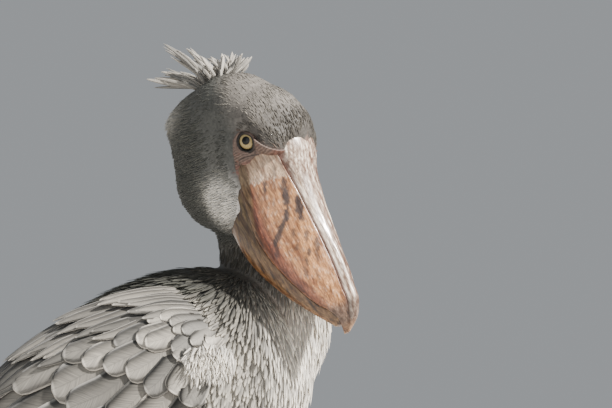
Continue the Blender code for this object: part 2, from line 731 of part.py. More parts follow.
def build_legs():
    for side, name in ((1, "right"), (-1, "left")):
        thigh_line, shank_line = Spine(leg_points(THIGH, side)), Spine(leg_points(SHANK, side))
        thigh = thigh_line.solid("thigh_" + name, 8, 14)
        boolean(thigh, "DIFFERENCE", [trunk("cut", GAP)])
        shank = shank_line.solid("shank_" + name, 15, 9, 0.0, "leg_skin")
        boolean(shank, "DIFFERENCE", [thigh_line.solid("cut", 8, 14, GAP)])
        keep_largest(shank)
        for kind in TOES:
            made = toe(f"toe_{kind}_{name}", side, kind)
            others = [shank_line.solid("cut", 15, 9, GAP, "leg_skin")]
            done = list(TOES)[: list(TOES).index(kind)]
            others += [toe("cut", side, other, GAP) for other in done]
            boolean(made, "DIFFERENCE", others)
            keep_largest(made)
            claw(f"claw_{kind}_{name}", side, kind)


def centre_on_floor():
    """Moves every piece so that the bird's box stands on the origin, centred on it."""
    spots = np.concatenate([
        np.array([tuple(v.co) for v in made.data.vertices]) for made in bpy.data.objects])
    low, high = spots.min(axis=0), spots.max(axis=0)
    shift = Vector((-(low[0] + high[0]) / 2, -(low[1] + high[1]) / 2, -low[2]))
    for made in bpy.data.objects:
        made.data.transform(Matrix.Translation(shift))


def main():
    clear_scene()
    build_head()
    build_bill()
    build_body()
    build_tail()
    build_wings()
    build_legs()
    centre_on_floor()
    for made in bpy.data.objects:
        made.data.shade_smooth()
        made.data.set_sharp_from_angle(angle=math.radians(50))


main()
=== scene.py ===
import math

import bmesh
import bpy
import numpy as np
from mathutils import Matrix, Vector
from mathutils.kdtree import KDTree


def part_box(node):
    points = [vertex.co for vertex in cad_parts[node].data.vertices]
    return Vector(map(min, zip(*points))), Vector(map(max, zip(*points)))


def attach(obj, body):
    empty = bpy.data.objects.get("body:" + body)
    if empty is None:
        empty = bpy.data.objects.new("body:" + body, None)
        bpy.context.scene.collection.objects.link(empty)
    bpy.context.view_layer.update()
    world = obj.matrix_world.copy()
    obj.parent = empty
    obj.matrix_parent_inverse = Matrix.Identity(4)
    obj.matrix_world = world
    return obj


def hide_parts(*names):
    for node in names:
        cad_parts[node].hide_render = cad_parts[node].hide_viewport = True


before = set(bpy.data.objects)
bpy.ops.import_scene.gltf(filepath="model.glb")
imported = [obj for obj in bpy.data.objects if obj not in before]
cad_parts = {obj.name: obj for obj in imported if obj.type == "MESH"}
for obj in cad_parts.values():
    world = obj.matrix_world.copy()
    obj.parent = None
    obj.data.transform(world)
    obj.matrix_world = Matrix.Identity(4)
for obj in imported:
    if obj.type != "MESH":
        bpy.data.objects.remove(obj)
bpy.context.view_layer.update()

# Driving sizes in metres. Places are worked out from the right eye, as the solids' are, with x
# forward, y to the bird's left and z up from the floor, and every finished mesh is shifted by SHIFT.
EYE_HEIGHT = 0.950
BILL_DIP = math.radians(58.3)
HEAD_TURN = math.radians(35.0)
HEAD_MIDDLE = np.array([0.0304, -0.035, EYE_HEIGHT])
EYE_RADIUS = 0.0130
EYE_OUT = 0.0412
MIDDLE_TOE = 0.150
FOOT_MIDDLE = (-0.104, 0.079)
WING_CORE_DEPTH = 0.0060
MOUTH = 0.0006
LOWER_BILL_END = 0.240
BILL_START, BILL_TIP = -0.002, 0.2500
EYE_ABOVE_FLOOR = np.array([0.0, 0.0, EYE_HEIGHT])

# The head's own axes: along the bill, towards the crown, and out to the bird's right.
FORWARD = np.array([
    math.cos(BILL_DIP) * math.cos(HEAD_TURN),
    -math.cos(BILL_DIP) * math.sin(HEAD_TURN),
    -math.sin(BILL_DIP),
])
CROWNWARD = np.array([
    math.sin(BILL_DIP) * math.cos(HEAD_TURN),
    -math.sin(BILL_DIP) * math.sin(HEAD_TURN),
    math.cos(BILL_DIP),
])
RIGHTWARD = np.cross(FORWARD, CROWNWARD)
HEAD_AXES = np.array([FORWARD, CROWNWARD, RIGHTWARD])


def both_sides(*rows):
    """Each form on the bird's right, followed by its mirror image on the left."""
    made = []
    for (a, b, c), half in rows:
        made += [((a, b, c), half), ((a, b, -c), half)]
    return tuple(made)


# Rounded forms of the head, each as its middle and half sizes along the head's axes.
HEAD_FORMS = (
    ((-0.040, -0.008, 0.0), (0.056, 0.042, 0.050)),
    ((-0.020, 0.012, 0.0), (0.045, 0.042, 0.044)),
    ((0.001, 0.0245, 0.0), (0.034, 0.035, 0.037)),
    ((-0.057, -0.030, 0.0), (0.050, 0.045, 0.049)),
    ((-0.010, -0.028, 0.0), (0.042, 0.042, 0.053)),
    ((-0.044, -0.064, 0.0), (0.064, 0.058, 0.055)),
    ((0.006, -0.090, 0.0), (0.061, 0.050, 0.053)),
) + both_sides(((-0.004, 0.0175, 0.037), (0.028, 0.0115, 0.0150)))
# The mound that carries the lids, and the bare fold between the eye and the bill's corner.
FACE_FORMS = both_sides(
    ((0.001, 0.000, 0.0405), (0.0210, 0.0180, 0.0066)),
    ((0.007, -0.016, 0.0400), (0.0165, 0.0105, 0.0110)),
)
# The feathered cheeks, which stand a little proud of the lower bill's root.
JAW_FORMS = both_sides(
    ((0.045, -0.067, 0.030), (0.043, 0.034, 0.0255)),
    ((0.022, -0.042, 0.030), (0.025, 0.023, 0.0235)),
)
# The brow, a heavy feathered ridge that runs down over the eye towards the bill, its third form a
# little taller on the left.
BROW_FORMS = both_sides(
    ((-0.022, 0.0090, 0.0350), (0.0120, 0.0070, 0.0110)),
    ((-0.009, 0.0194, 0.0368), (0.0130, 0.0066, 0.0112)),
) + (
    ((0.006, 0.0245, 0.0350), (0.0130, 0.0072, 0.0112)),
    ((0.006, 0.0245, -0.0350), (0.0130, 0.0075, 0.0112)),
) + both_sides(((0.018, 0.0285, 0.0310), (0.0120, 0.0075, 0.0110)))
HEAD_MERGE = 0.006
SKIN_FORMS = HEAD_FORMS + JAW_FORMS + BROW_FORMS
HEAD_CORE = np.array([-0.022, -0.030, 0.0])
# How near to that core and how far from it the head's surface may lie.
HEAD_REACH = (0.01, 0.20)

# Bill stations: distance ahead of the eye, then heights above it and half widths.
BILL_RIDGE = ((-0.010, 0.0480), (0.034, 0.0445), (0.060, 0.0335), (0.093, 0.0262), (0.152, 0.0200),
              (0.204, 0.0135), (0.229, 0.0070), (0.243, -0.0060), (0.2500, -0.0200))
BILL_EDGE = ((-0.010, -0.0260), (0.019, -0.0285), (0.067, -0.0400), (0.104, -0.0465), (0.130, -0.0445),
             (0.178, -0.0347), (0.207, -0.0272), (0.232, -0.0180), (0.2500, -0.0260))
BILL_KEEL = ((-0.010, -0.0640), (0.038, -0.0765), (0.083, -0.0810), (0.110, -0.0800), (0.139, -0.0735),
             (0.183, -0.0564), (0.213, -0.0425), (0.238, -0.0300))
BILL_WIDE = ((-0.010, 0.0460), (0.034, 0.0500), (0.104, 0.0520), (0.150, 0.0485), (0.190, 0.0375),
             (0.220, 0.0215), (0.238, 0.0105), (0.2500, 0.0030))
RIDGE_WIDE = ((-0.010, 0.0350), (0.034, 0.0325), (0.060, 0.0252), (0.095, 0.0200), (0.130, 0.0160),
              (0.160, 0.0130), (0.215, 0.0092), (0.238, 0.0066), (0.2500, 0.0020))
RIDGE_TALL = ((-0.010, 0.0240), (0.034, 0.0240), (0.066, 0.0155), (0.150, 0.0105), (0.210, 0.0110),
              (0.238, 0.0090), (0.2500, 0.0030))

# Oval sections of the trunk, neck, wing and leg: x, y, z from the eye, half depth, half width.
TRUNK = (
    (0.084, 0, -0.270, 0.016, 0.016), (0.072, 0, -0.268, 0.058, 0.056), (0.030, 0, -0.264, 0.112, 0.098),
    (-0.040, 0, -0.282, 0.138, 0.122), (-0.120, 0, -0.322, 0.146, 0.128), (-0.198, 0, -0.370, 0.128, 0.116),
    (-0.268, 0, -0.418, 0.098, 0.090), (-0.330, 0, -0.460, 0.064, 0.060), (-0.372, 0, -0.490, 0.035, 0.040),
    (-0.384, 0, -0.499, 0.010, 0.014),
)
NECK = (
    (-0.010, 0.000, -0.050, 0.042, 0.040), (0.004, 0.014, -0.105, 0.040, 0.043),
    (0.020, 0.013, -0.150, 0.054, 0.053), (0.036, 0.007, -0.200, 0.066, 0.066),
    (0.030, 0.000, -0.250, 0.062, 0.076), (0.020, 0.000, -0.290, 0.050, 0.060),
)
WING = (
    (0.010, 0, -0.246, 0.088, 0.094), (-0.046, 0, -0.274, 0.142, 0.134), (-0.125, 0, -0.318, 0.150, 0.142),
    (-0.200, 0, -0.364, 0.138, 0.132), (-0.275, 0, -0.420, 0.112, 0.108), (-0.350, 0, -0.468, 0.086, 0.080),
    (-0.430, 0, -0.520, 0.064, 0.056), (-0.510, 0, -0.570, 0.048, 0.038), (-0.590, 0, -0.617, 0.034, 0.022),
)
WING_TOP = (40.0, 30.0, 20.0, 12.0, 9.0, 9.5, 11.0, 16.0, 24.0)
WING_LOW = (96.0, 112.0, 118.0, 115.0, 108.0, 100.0, 92.0, 86.0, 80.0)
THIGH = (
    (-0.085, 0.060, -0.370, 0.052, 0.044), (-0.094, 0.064, -0.440, 0.050, 0.040),
    (-0.106, 0.069, -0.505, 0.040, 0.032), (-0.118, 0.073, -0.562, 0.028, 0.023),
    (-0.126, 0.075, -0.606, 0.018, 0.016), (-0.130, 0.075, -0.634, 0.0115, 0.0105),
)
SHANK = (
    (-0.129, 0.075, -0.600, 0.0080, 0.0075), (-0.133, 0.075, -0.655, 0.0090, 0.0085),
    (-0.137, 0.076, -0.686, 0.0135, 0.0120), (-0.134, 0.076, -0.712, 0.0100, 0.0090),
    (-0.126, 0.077, -0.790, 0.0080, 0.0072), (-0.115, 0.078, -0.870, 0.0082, 0.0075),
    (-0.108, 0.079, -0.912, 0.0110, 0.0115), (-0.104, 0.079, -0.934, 0.0130, 0.0135),
    (-0.102, 0.079, -0.9465, 0.0090, 0.0095),
)
TAIL_ROOT = np.array([-0.352, 0.0, -0.480])
TAIL_TIP = np.array([-0.571, 0.0, -0.627])
TAIL_SPREAD = (0.018, 0.052)
TAIL_HALF = 0.0150
# The tail's layers, from below: how many vanes, how far they reach and how high they lie.
TAIL_LAYERS = ((12, 1.0, 0.0), (8, 0.55, 0.0085), (7, 0.36, 0.0150))
# Each toe's heading outwards from straight ahead, in degrees, and its share of the middle toe.
TOES = {"inner": (-27.0, 0.78), "middle": (2.0, 1.0), "outer": (31.0, 0.84), "hind": (172.0, 0.52)}
TOE_RADIUS, SCUTE_LENGTH = 0.0092, 0.0045
CLAW_LENGTH, CLAW_RADIUS, CLAW_RISE = 0.0242, 0.0040, 0.0016
# The upper bill's section: shares of the ridge's half width and drop, then of the wall's width and rise.
RIDGE_SECTION = ((0.28, 0.03), (0.52, 0.14), (0.76, 0.34), (0.93, 0.62))
WALL_SECTION = ((0.36, 0.80), (0.56, 0.64), (0.74, 0.46), (0.88, 0.30), (0.98, 0.14))

# How deep the skin lies under the tips of the feathers, and how fine its mesh is.
HEAD_COAT, NECK_COAT, BODY_COAT, THIGH_COAT = 0.0030, 0.0030, 0.0028, 0.0040
SKIN_VOXEL = 0.0029
# How the skin's mesh is evened out: how many times, and how far towards its neighbours each point goes.
SMOOTH_ROUNDS, SMOOTH_SHARE = 5, 0.5
# How square the trunk's sections are, and the reach over which its bend is measured.
TRUNK_SQUARENESS, TRUNK_REACH = 2.15, 0.16

# Where the face's feathers end towards the bill: height above the eye, distance ahead of it.
FACE_EDGE = ((-0.100, 0.104), (-0.077, 0.088), (-0.0625, 0.075), (-0.0477, 0.056), (-0.034, 0.035),
             (-0.027, 0.014), (-0.014, -0.009), (0.003, -0.012), (0.0135, 0.003), (0.018, 0.014),
             (0.0235, 0.023), (0.029, 0.029), (0.0426, 0.034), (0.060, 0.040))
# The patch of bare skin: from where to where and how many points, ahead of the eye and above it, then
# how far out it may lie.
FACE_AHEAD, FACE_ABOVE, FACE_REACH = (-0.014, 0.040, 84), (-0.036, 0.036, 112), (0.020, 0.080)
# Where the horn of the bill's side comes out of the skin: height above the eye, distance ahead.
HORN_ROOT = ((-0.040, 0.020), (-0.023, 0.022), (0.000, 0.027), (0.019, 0.032), (0.034, 0.029),
             (0.045, 0.028))
# Where the right eye looks, how its lids face, the hollow that the eyeball fills, and the lids' rim:
# its radius, its thickness and how far out it lies.
GAZE = np.array([0.105, 0.226, 0.963])
LID_AXIS = np.array([0.16, 0.13, 0.96])
SOCKET_RADIUS, SOCKET_FLOOR = 0.0122, 0.0030
LID_RING, LID_THICK, LID_OUT = 0.0116, 0.0020, 0.0086

# Tiers of wing feathers, as rows of: how many, where the lowest and the highest feather's root and
# tip lie along the wing and across it, half width, the tip's height over the core, how much higher
# each feather lies than the last, the vane's shape and the paleness of its colour.
WING_TIERS = (
    (7, (0.50, 0.72, 0.88, 0.72), (0.56, 0.46, 1.00, 0.42), 0.0165, -0.0040, 0.0009, "pointed", 0.40),
    (11, (0.33, 0.92, 0.60, 0.97), (0.45, 0.26, 0.92, 0.24), 0.0180, 0.0016, 0.0006, "pointed", 0.62),
    (7, (0.25, 0.92, 0.39, 1.03), (0.38, 0.32, 0.61, 0.35), 0.0265, 0.0040, 0.0, "broad", 0.90),
    (6, (0.18, 0.86, 0.31, 1.02), (0.29, 0.31, 0.50, 0.33), 0.0265, 0.0048, 0.0, "broad", 1.00),
    (6, (0.13, 0.72, 0.24, 0.93), (0.21, 0.30, 0.40, 0.31), 0.0235, 0.0054, 0.0, "broad", 0.95),
    (7, (0.09, 0.58, 0.18, 0.80), (0.14, 0.28, 0.31, 0.30), 0.0175, 0.0058, 0.0, "broad", 0.90),
    (8, (0.05, 0.50, 0.13, 0.68), (0.09, 0.27, 0.23, 0.29), 0.0140, 0.0060, 0.0, "broad", 0.90),
    (8, (0.02, 0.44, 0.09, 0.60), (0.05, 0.27, 0.16, 0.28), 0.0110, 0.0064, 0.0, "rounded", 0.88),
    (6, (0.30, 0.22, 0.68, 0.23), (0.36, 0.03, 0.78, 0.06), 0.0110, 0.0060, 0.0009, "pointed", 0.50),
    (8, (0.28, 0.25, 0.43, 0.27), (0.31, 0.03, 0.48, 0.05), 0.0090, 0.0066, 0.0003, "pointed", 0.60),
    (8, (0.19, 0.25, 0.34, 0.27), (0.23, 0.03, 0.39, 0.05), 0.0086, 0.0071, 0.0003, "pointed", 0.72),
    (8, (0.11, 0.26, 0.25, 0.28), (0.15, 0.03, 0.30, 0.05), 0.0082, 0.0076, 0.0003, "pointed", 0.66),
    (8, (0.05, 0.27, 0.17, 0.29), (0.09, 0.04, 0.22, 0.06), 0.0076, 0.0081, 0.0003, "pointed", 0.78),
)
# Where the large wing feathers begin along the wing, by the place across it; ahead of that the
# small feathers of the body run on over the wing's bend.
WING_FRONT = ((0.0, 0.07), (0.25, 0.08), (0.45, 0.11), (0.70, 0.17), (1.0, 0.28))
VANE_SHAPES = {
    "rounded": ((0.0, 0.16), (0.08, 0.30), (0.25, 0.62), (0.45, 0.90), (0.62, 1.0), (0.78, 0.98),
                (0.88, 0.88), (0.95, 0.66), (0.985, 0.38), (1.0, 0.08)),
    "broad": ((0.0, 0.16), (0.08, 0.34), (0.25, 0.70), (0.45, 0.94), (0.62, 1.0), (0.80, 1.0),
              (0.90, 0.92), (0.955, 0.72), (0.985, 0.44), (1.0, 0.10)),
    "pointed": ((0.0, 0.16), (0.08, 0.32), (0.25, 0.72), (0.45, 0.98), (0.62, 0.98), (0.76, 0.84),
                (0.87, 0.62), (0.94, 0.40), (0.98, 0.22), (1.0, 0.05)),
    "crest": ((0.0, 0.55), (0.15, 0.72), (0.35, 0.92), (0.55, 1.0), (0.72, 0.92), (0.86, 0.70),
              (0.95, 0.42), (1.0, 0.10)),
}
VANE_THICKNESS, VANE_EDGE, VANE_GAP = 0.0007, 0.0003, 0.0004
# A vane's section: places across it, and 1 on its upper face or -1 on its lower one.
VANE_SECTION = ((-1.0, 1.0), (-0.55, 1.0), (0.0, 1.0), (0.55, 1.0), (1.0, 1.0), (0.6, -1.0), (0.0, -1.0),
                (-0.6, -1.0))
# Small feathers to plant: place along each, half width and height there, then thickness and bend.
PLUMES = {
    "fine_plume": (((0.0, 0.16, 0.6), (0.40, 0.50, 1.0), (0.78, 0.36, 0.8), (1.0, 0.06, 0.2)), 0.028, 0.08),
    "lance_plume": (((0.0, 0.14, 0.6), (0.22, 0.38, 1.0), (0.50, 0.50, 1.0), (0.76, 0.42, 0.9),
                     (0.92, 0.22, 0.5), (1.0, 0.04, 0.2)), 0.013, 0.05),
}
# Pieces of the coat: name, feather, finish, where it grows, spacing, density, seed, how far the
# feathers stray, their size and how deep they are sunk.
COAT_PIECES = (
    ("crown_plumage", "fine_plume", "head", "crown_part", 0.0014, 1200000.0, 1, 0.10, 0.95, 0.0006),
    ("cheek_plumage", "fine_plume", "head", "cheek_part", 0.0014, 1200000.0, 5, 0.10, 0.95, 0.0006),
    ("jaw_plumage", "fine_plume", "head", "jaw_part", 0.0014, 1200000.0, 8, 0.10, 0.95, 0.0006),
    ("neck_plumage", "fine_plume", "body", "neck_part", 0.0026, 400000.0, 2, 0.12, 1.0, 0.0006),
    ("breast_plumage", "lance_plume", "body", "breast_part", 0.0034, 300000.0, 3, 0.07, 1.0, 0.0010),
    ("mantle_plumage", "lance_plume", "body", "mantle_part", 0.0038, 200000.0, 6, 0.06, 1.0, 0.0010),
    ("belly_plumage", "lance_plume", "body", "belly_part", 0.0046, 180000.0, 7, 0.06, 1.2, 0.0010),
    ("down", "fine_plume", "body", "down_part", 0.0012, 1500000.0, 4, 0.35, 1.0, -0.0010),
)
# The side of each feather's patch in the map OFBake, and the share of a small feather behind its root.
BAKE_PATCH, BEHIND_ROOT = 0.003, 0.1
# Length and width of the small feathers on the head, neck and body, and of the down.
HEAD_LONG, HEAD_BROAD = 0.0095, 0.0019
NECK_LONG, NECK_BROAD = 0.017, 0.0036
BODY_LONG, BODY_BROAD = 0.036, 0.0062
DOWN_LONG, DOWN_BROAD = 0.023, 0.0014
# How far the wing's vanes stray along the wing and across it.
STRAY_ALONG, STRAY_ACROSS = 0.009, 0.015
# How high over the wing's core a vane starts, and how far its very root is sunk into that core.
ROOT_RISE, ROOT_SUNK = 0.0008, -0.003
# How many short feathers the crest has about each long one.
CREST_SHORT = 13
# Each nostril's middle and half sizes along the head's axes, and its depth.
NOSTRIL_MIDDLE, NOSTRIL_HALF, NOSTRIL_DEPTH = (0.046, 0.0215, 0.0190), (0.0110, 0.0018, 0.0050), 0.0035
# Where pupil and iris end, in degrees from the middle of the pupil, from and to.
PUPIL_END, IRIS_DARKENS, IRIS_END = (20.5, 22.5), (42.0, 48.0), (48.0, 51.0)

# Crest feathers: root along the head's axes, tip from the eye in x, y, z, and half width.
CREST = (
    ((-0.124, -0.042, 0.004), (-0.0965, 0.022, 0.1165), 0.0040),
    ((-0.121, -0.036, -0.005), (-0.0695, 0.020, 0.1110), 0.0038),
    ((-0.128, -0.054, 0.006), (-0.1170, 0.026, 0.0745), 0.0040),
    ((-0.127, -0.052, -0.006), (-0.1000, 0.036, 0.0835), 0.0038),
    ((-0.115, -0.026, 0.008), (-0.0500, 0.004, 0.1000), 0.0042),
    ((-0.113, -0.022, -0.007), (-0.0400, 0.034, 0.1010), 0.0042),
    ((-0.108, -0.014, 0.005), (-0.0270, 0.012, 0.1045), 0.0036),
    ((-0.107, -0.012, -0.006), (-0.0200, 0.026, 0.1025), 0.0036),
    ((-0.104, -0.007, 0.004), (-0.0025, 0.004, 0.1045), 0.0036),
    ((-0.103, -0.005, -0.004), (0.0085, 0.012, 0.1010), 0.0036),
)

# Colours, as the light of day shows them, save where painted shade or painted light is noted.
CROWN = (0.175, 0.165, 0.150)
FOREHEAD = (0.042, 0.038, 0.033)
# Painted shade: the cheek's grey is darkened to stand for the shade behind the eye and under the brow.
SHADED_CHEEK = (0.086, 0.090, 0.083)
# Painted shade: the neck and mantle greys are darkened to stand for the shade that the head and bill cast
# over them; the mantle grey is also the body's ground colour.
SHADED_NECK_GREY = (0.080, 0.077, 0.068)
SHADED_MANTLE = (0.058, 0.060, 0.054)
# The chest colour is partly the breast's own paleness and partly painted light where the sun strikes the
# front.
CHEST_PALE_AND_LIT = (0.840, 0.810, 0.755)
BELLY = (0.370, 0.356, 0.330)
SHOULDER = (0.430, 0.412, 0.376)
NAPE_TUFT = (0.430, 0.430, 0.410)
FACE_SKIN = (0.190, 0.130, 0.105)
# The pale face colour is painted light on the tops of the face's folds, and the dark face colour is painted
# shade in their troughs and creases and along the bare skin's border.
FACE_PAINTED_HIGHLIGHT = (0.340, 0.255, 0.210)
FACE_ROSE = (0.240, 0.095, 0.070)
FACE_PAINTED_SHADE = (0.055, 0.042, 0.037)
LID_DARK = (0.010, 0.008, 0.007)
JAW_PALE = (0.800, 0.785, 0.740)
COVERT, COVERT_FRINGE = (0.400, 0.382, 0.348), (0.800, 0.760, 0.690)
CREST_PALE, CREST_FRINGE = (0.440, 0.420, 0.385), (0.720, 0.690, 0.640)
LEG_DARK, LEG_PALE = (0.020, 0.020, 0.021), (0.110, 0.108, 0.104)
CLAW_DARK, CLAW_PALE = (0.018, 0.016, 0.015), (0.060, 0.052, 0.046)
FLOOR_PALE, SKY, SUN_COLOUR = (0.420, 0.410, 0.400), (0.800, 0.840, 0.880), (1.0, 0.955, 0.890)
DOWN = (0.900, 0.880, 0.835)

# Dark marks on the bill: distance ahead of the eye, height on the wall from edge to groove, half
# length, half width, slant, and how dark, for the bird's right side.
BILL_MARKS = (
    (0.058, 0.53, 0.0070, 0.0022, -0.24, 0.85), (0.067, 0.87, 0.0090, 0.0036, -0.29, 0.80),
    (0.080, 0.81, 0.0110, 0.0038, -0.29, 0.95), (0.0995, 0.70, 0.0072, 0.0034, -0.27, 0.95),
    (0.099, 0.925, 0.0150, 0.0038, -0.18, 0.95), (0.110, 0.54, 0.0080, 0.0040, -0.90, 0.90),
    (0.119, 0.39, 0.0100, 0.0048, -0.99, 0.85), (0.135, 0.22, 0.0070, 0.0032, -0.60, 0.55),
    (0.147, 0.92, 0.0080, 0.0026, -0.30, 0.75), (0.151, 0.74, 0.0050, 0.0026, -0.35, 0.80),
    (0.160, 0.62, 0.0060, 0.0024, -0.35, 0.75), (0.171, 0.47, 0.0070, 0.0024, -0.35, 0.70),
    (0.140, 0.60, 0.0040, 0.0022, -0.35, 0.60), (0.047, 0.82, 0.0080, 0.0024, -0.30, 0.60),
    (0.132, 0.84, 0.0070, 0.0026, -0.35, 0.70), (0.123, 0.66, 0.0060, 0.0024, -0.35, 0.60),
    (0.160, 0.84, 0.0060, 0.0022, -0.30, 0.60), (0.180, 0.66, 0.0070, 0.0020, -0.30, 0.55),
)
HORN_TAN, HORN_ROSE, HORN_RED = (0.430, 0.222, 0.096), (0.350, 0.132, 0.062), (0.180, 0.046, 0.024)
HORN_IVORY, HORN_BROWN, HORN_DARK = (0.860, 0.800, 0.715), (0.150, 0.080, 0.055), (0.036, 0.025, 0.026)
# The olive horn colour is the lower bill's dull olive, darkened further as painted shade; the upper bill's
# rim uses it too.
HORN_OLIVE_AND_SHADE, NAIL_TAN, NAIL_GREY = (0.118, 0.083, 0.042), (0.400, 0.240, 0.135), (0.150, 0.105, 0.085)
HORN_SCUFFED = (0.540, 0.435, 0.330)

# How many rings the bill's two halves have, and how far the lower horn ends short of the solid.
UPPER_RINGS, LOWER_RINGS, HORN_SHORT = 240, 140, 0.002

# The studio: half the floor's width, the strengths of sun, fill light and sky, and which way the
# rays of the two lights travel.
FLOOR_HALF = 12.0
SUN_STRENGTH, FILL_STRENGTH, SKY_STRENGTH = 13.0, 30.0, 0.40
KEY_WAY, FILL_WAY = (-0.71, 0.26, -0.66), (0.25, 1.0, -0.15)
# How far the lights stand from a place over the middle of the floor, and how high that place is.
LIGHTS_AWAY, LIGHTS_ABOVE = 4.0, 0.8
# The camera: how far off the bird's right cheek it stands, and where that cheek is, then the
# photo's scale at the bird, its size and the eye's place in it, and the width of the sensor.
CAMERA_AWAY, FACE_SIDE = 8.0, -0.070
PIXELS_PER_METRE = 850.0
FRAME_PIXELS = (612, 408)
EYE_PIXEL = (244.0, 141.0)
SENSOR = 36.0


def along(table, at):
    """Smooth values at one place or many, from pairs of place and value."""
    places, values = np.array(table, float).T
    slopes = np.gradient(values, places)
    at = np.asarray(at, float)
    k = np.clip(np.searchsorted(places, at) - 1, 0, len(places) - 2)
    span = places[k + 1] - places[k]
    s = np.clip((at - places[k]) / span, 0.0, 1.0)
    return (
        (2 * s**3 - 3 * s**2 + 1) * values[k] + (s**3 - 2 * s**2 + s) * span * slopes[k]
        + (3 * s**2 - 2 * s**3) * values[k + 1] + (s**3 - s**2) * span * slopes[k + 1]
    )


def step(low, high, value):
    """0 below low, 1 above high, smooth between; low may be the greater one."""
    s = np.clip((np.asarray(value, float) - low) / (high - low), 0.0, 1.0)
    return s * s * (3 - 2 * s)


def oval(u, v, middle, half):
    """1 on an oval about a middle, less inside it and more outside."""
    return ((u - middle[0]) / half[0]) ** 2 + ((v - middle[1]) / half[1]) ** 2


def unit(vectors):
    return vectors / np.maximum(np.linalg.norm(vectors, axis=-1, keepdims=True), 1e-12)


def between(low, high, share):
    return low + (high - low) * share


def circle(count):
    return np.linspace(0.0, 2 * math.pi, count, endpoint=False)


def evenly(values):
    """Values spread evenly between place 0 and place 1."""
    return list(zip(np.linspace(0.0, 1.0, len(values)), values))


def mirror(points):
    return points * np.array([1.0, -1.0, 1.0])


class Spine:
    """Oval sections on a bent line. Angle 0 is the bird's back, 90 its right side, 180 its belly."""

    def __init__(self, rows, squareness=2.0, reach=0.002):
        self.columns = [evenly(column) for column in zip(*rows)]
        self.squareness, self.reach = squareness, reach

    def section(self, t):
        return np.array([along(column, t) for column in self.columns])

    def point(self, t, degrees, grow=0.0):
        t, degrees = np.broadcast_arrays(np.asarray(t, float), np.asarray(degrees, float))
        x, y, z, depth, width = self.section(t)
        ahead, behind = np.minimum(1.0, t + self.reach), np.maximum(0.0, t - self.reach)
        run = self.section(ahead)[:3] - self.section(behind)[:3]
        back = unit(np.stack([run[2], np.zeros_like(x), -run[0]], axis=-1))
        c, s = np.cos(np.radians(degrees)), np.sin(np.radians(degrees))
        power = 2.0 / self.squareness
        up = np.copysign(np.abs(c) ** power, c) * (depth + grow)
        out = np.copysign(np.abs(s) ** power, s) * (width + grow)
        middle = np.stack([x, y - out, z + EYE_HEIGHT], axis=-1)
        return middle + back * up[..., None]

    def tube(self, stations, sides, grow=0.0):
        t = np.linspace(0.0, 1.0, stations)[:, None]
        turn = np.linspace(0.0, 360.0, sides, endpoint=False)[None, :]
        return tube_mesh(self.point(t, turn, grow))


def limb(rows, side):
    """A limb's sections on the bird's right, side 1, or on its left, side -1."""
    return Spine([(x, -side * y, z, depth, width) for x, y, z, depth, width in rows])


WING_SPINE = Spine(WING)


def tube_mesh(rings):
    """Points and faces of a closed tube through rings of as many points each."""
    count, sides = rings.shape[:2]
    faces = []
    for k in range(count - 1):
        for i in range(sides):
            j = (i + 1) % sides
            faces.append((k * sides + i, k * sides + j, (k + 1) * sides + j, (k + 1) * sides + i))
    faces.append(tuple(range(sides - 1, -1, -1)))
    faces.append(tuple(range((count - 1) * sides, count * sides)))
    return rings.reshape(-1, 3), faces


def to_world(local):
    return np.asarray(local, float) @ HEAD_AXES + HEAD_MIDDLE


def to_head(points):
    return (points - HEAD_MIDDLE) @ HEAD_AXES.T


def merged_depth(points, forms):
    """How far each point lies outside rounded forms that melt into one another."""
    total = np.zeros(len(points))
    for middle, half in forms:
        offset = points - np.array(middle)
        near = np.linalg.norm(offset / np.array(half), axis=1)
        steep = np.linalg.norm(offset / np.array(half) ** 2, axis=1)
        total += np.exp(np.minimum(-near * (near - 1.0) / np.maximum(steep, 1e-9) / HEAD_MERGE, 60.0))
    return -HEAD_MERGE * np.log(np.maximum(total, 1e-30))


def bareness(local):
    """0 where the head carries feathers, 1 on the bare face."""
    edge = along(FACE_EDGE, local[:, 1])
    edge = edge - 0.014 * np.exp(-((local[:, 2] / 0.008) ** 2)) * step(0.030, 0.036, local[:, 1])
    return step(-0.002, 0.003, local[:, 0] - edge)


def socket_depth(spot):
    """How far each point lies inside the round hollow that an eyeball fills."""
    axis = unit(LID_AXIS)
    folded = np.stack([spot[:, 0], spot[:, 1], np.abs(spot[:, 2])], axis=1)
    offset = folded - np.array([0.0, 0.0, EYE_OUT])
    height = offset @ axis
    reach = np.linalg.norm(offset - height[:, None] * axis, axis=1)
    return np.minimum(SOCKET_RADIUS - reach, height - SOCKET_FLOOR)


def skin_depth(spot):
    """How far each point lies outside the head's skin."""
    coat = HEAD_COAT * (1.0 - bareness(spot))
    depth = np.minimum(merged_depth(spot, SKIN_FORMS) + coat, merged_depth(spot, FACE_FORMS))
    return np.maximum(depth, socket_depth(spot))


def outer_reach(inside_at, count, low, high, rounds):
    """How far out each ray leaves a form, by halving the gap between inside and outside."""
    low, high = np.full(count, low), np.full(count, high)
    for _ in range(rounds):
        middle = (low + high) / 2
        inside = inside_at(middle)
        low, high = np.where(inside, middle, low), np.where(inside, high, middle)
    return low


def head_skin(around=110, rings=80):
    """The head's skin, its feathers' depth inside the solid head and level with it on the face."""
    tilt = np.linspace(0.0, math.pi, rings)[1:-1, None]
    turn = circle(around)[None, :]
    rays = np.stack([
        np.cos(tilt) * np.ones_like(turn), np.sin(tilt) * np.cos(turn), np.sin(tilt) * np.sin(turn),
    ], axis=-1).reshape(-1, 3)

    def inside_at(reach):
        return skin_depth(HEAD_CORE + rays * reach[:, None]) < 0.0

    reach = outer_reach(inside_at, len(rays), *HEAD_REACH, rounds=26)
    points = to_world(HEAD_CORE + rays * reach[:, None])
    return tube_mesh(points.reshape(rings - 2, around, 3)[::-1])


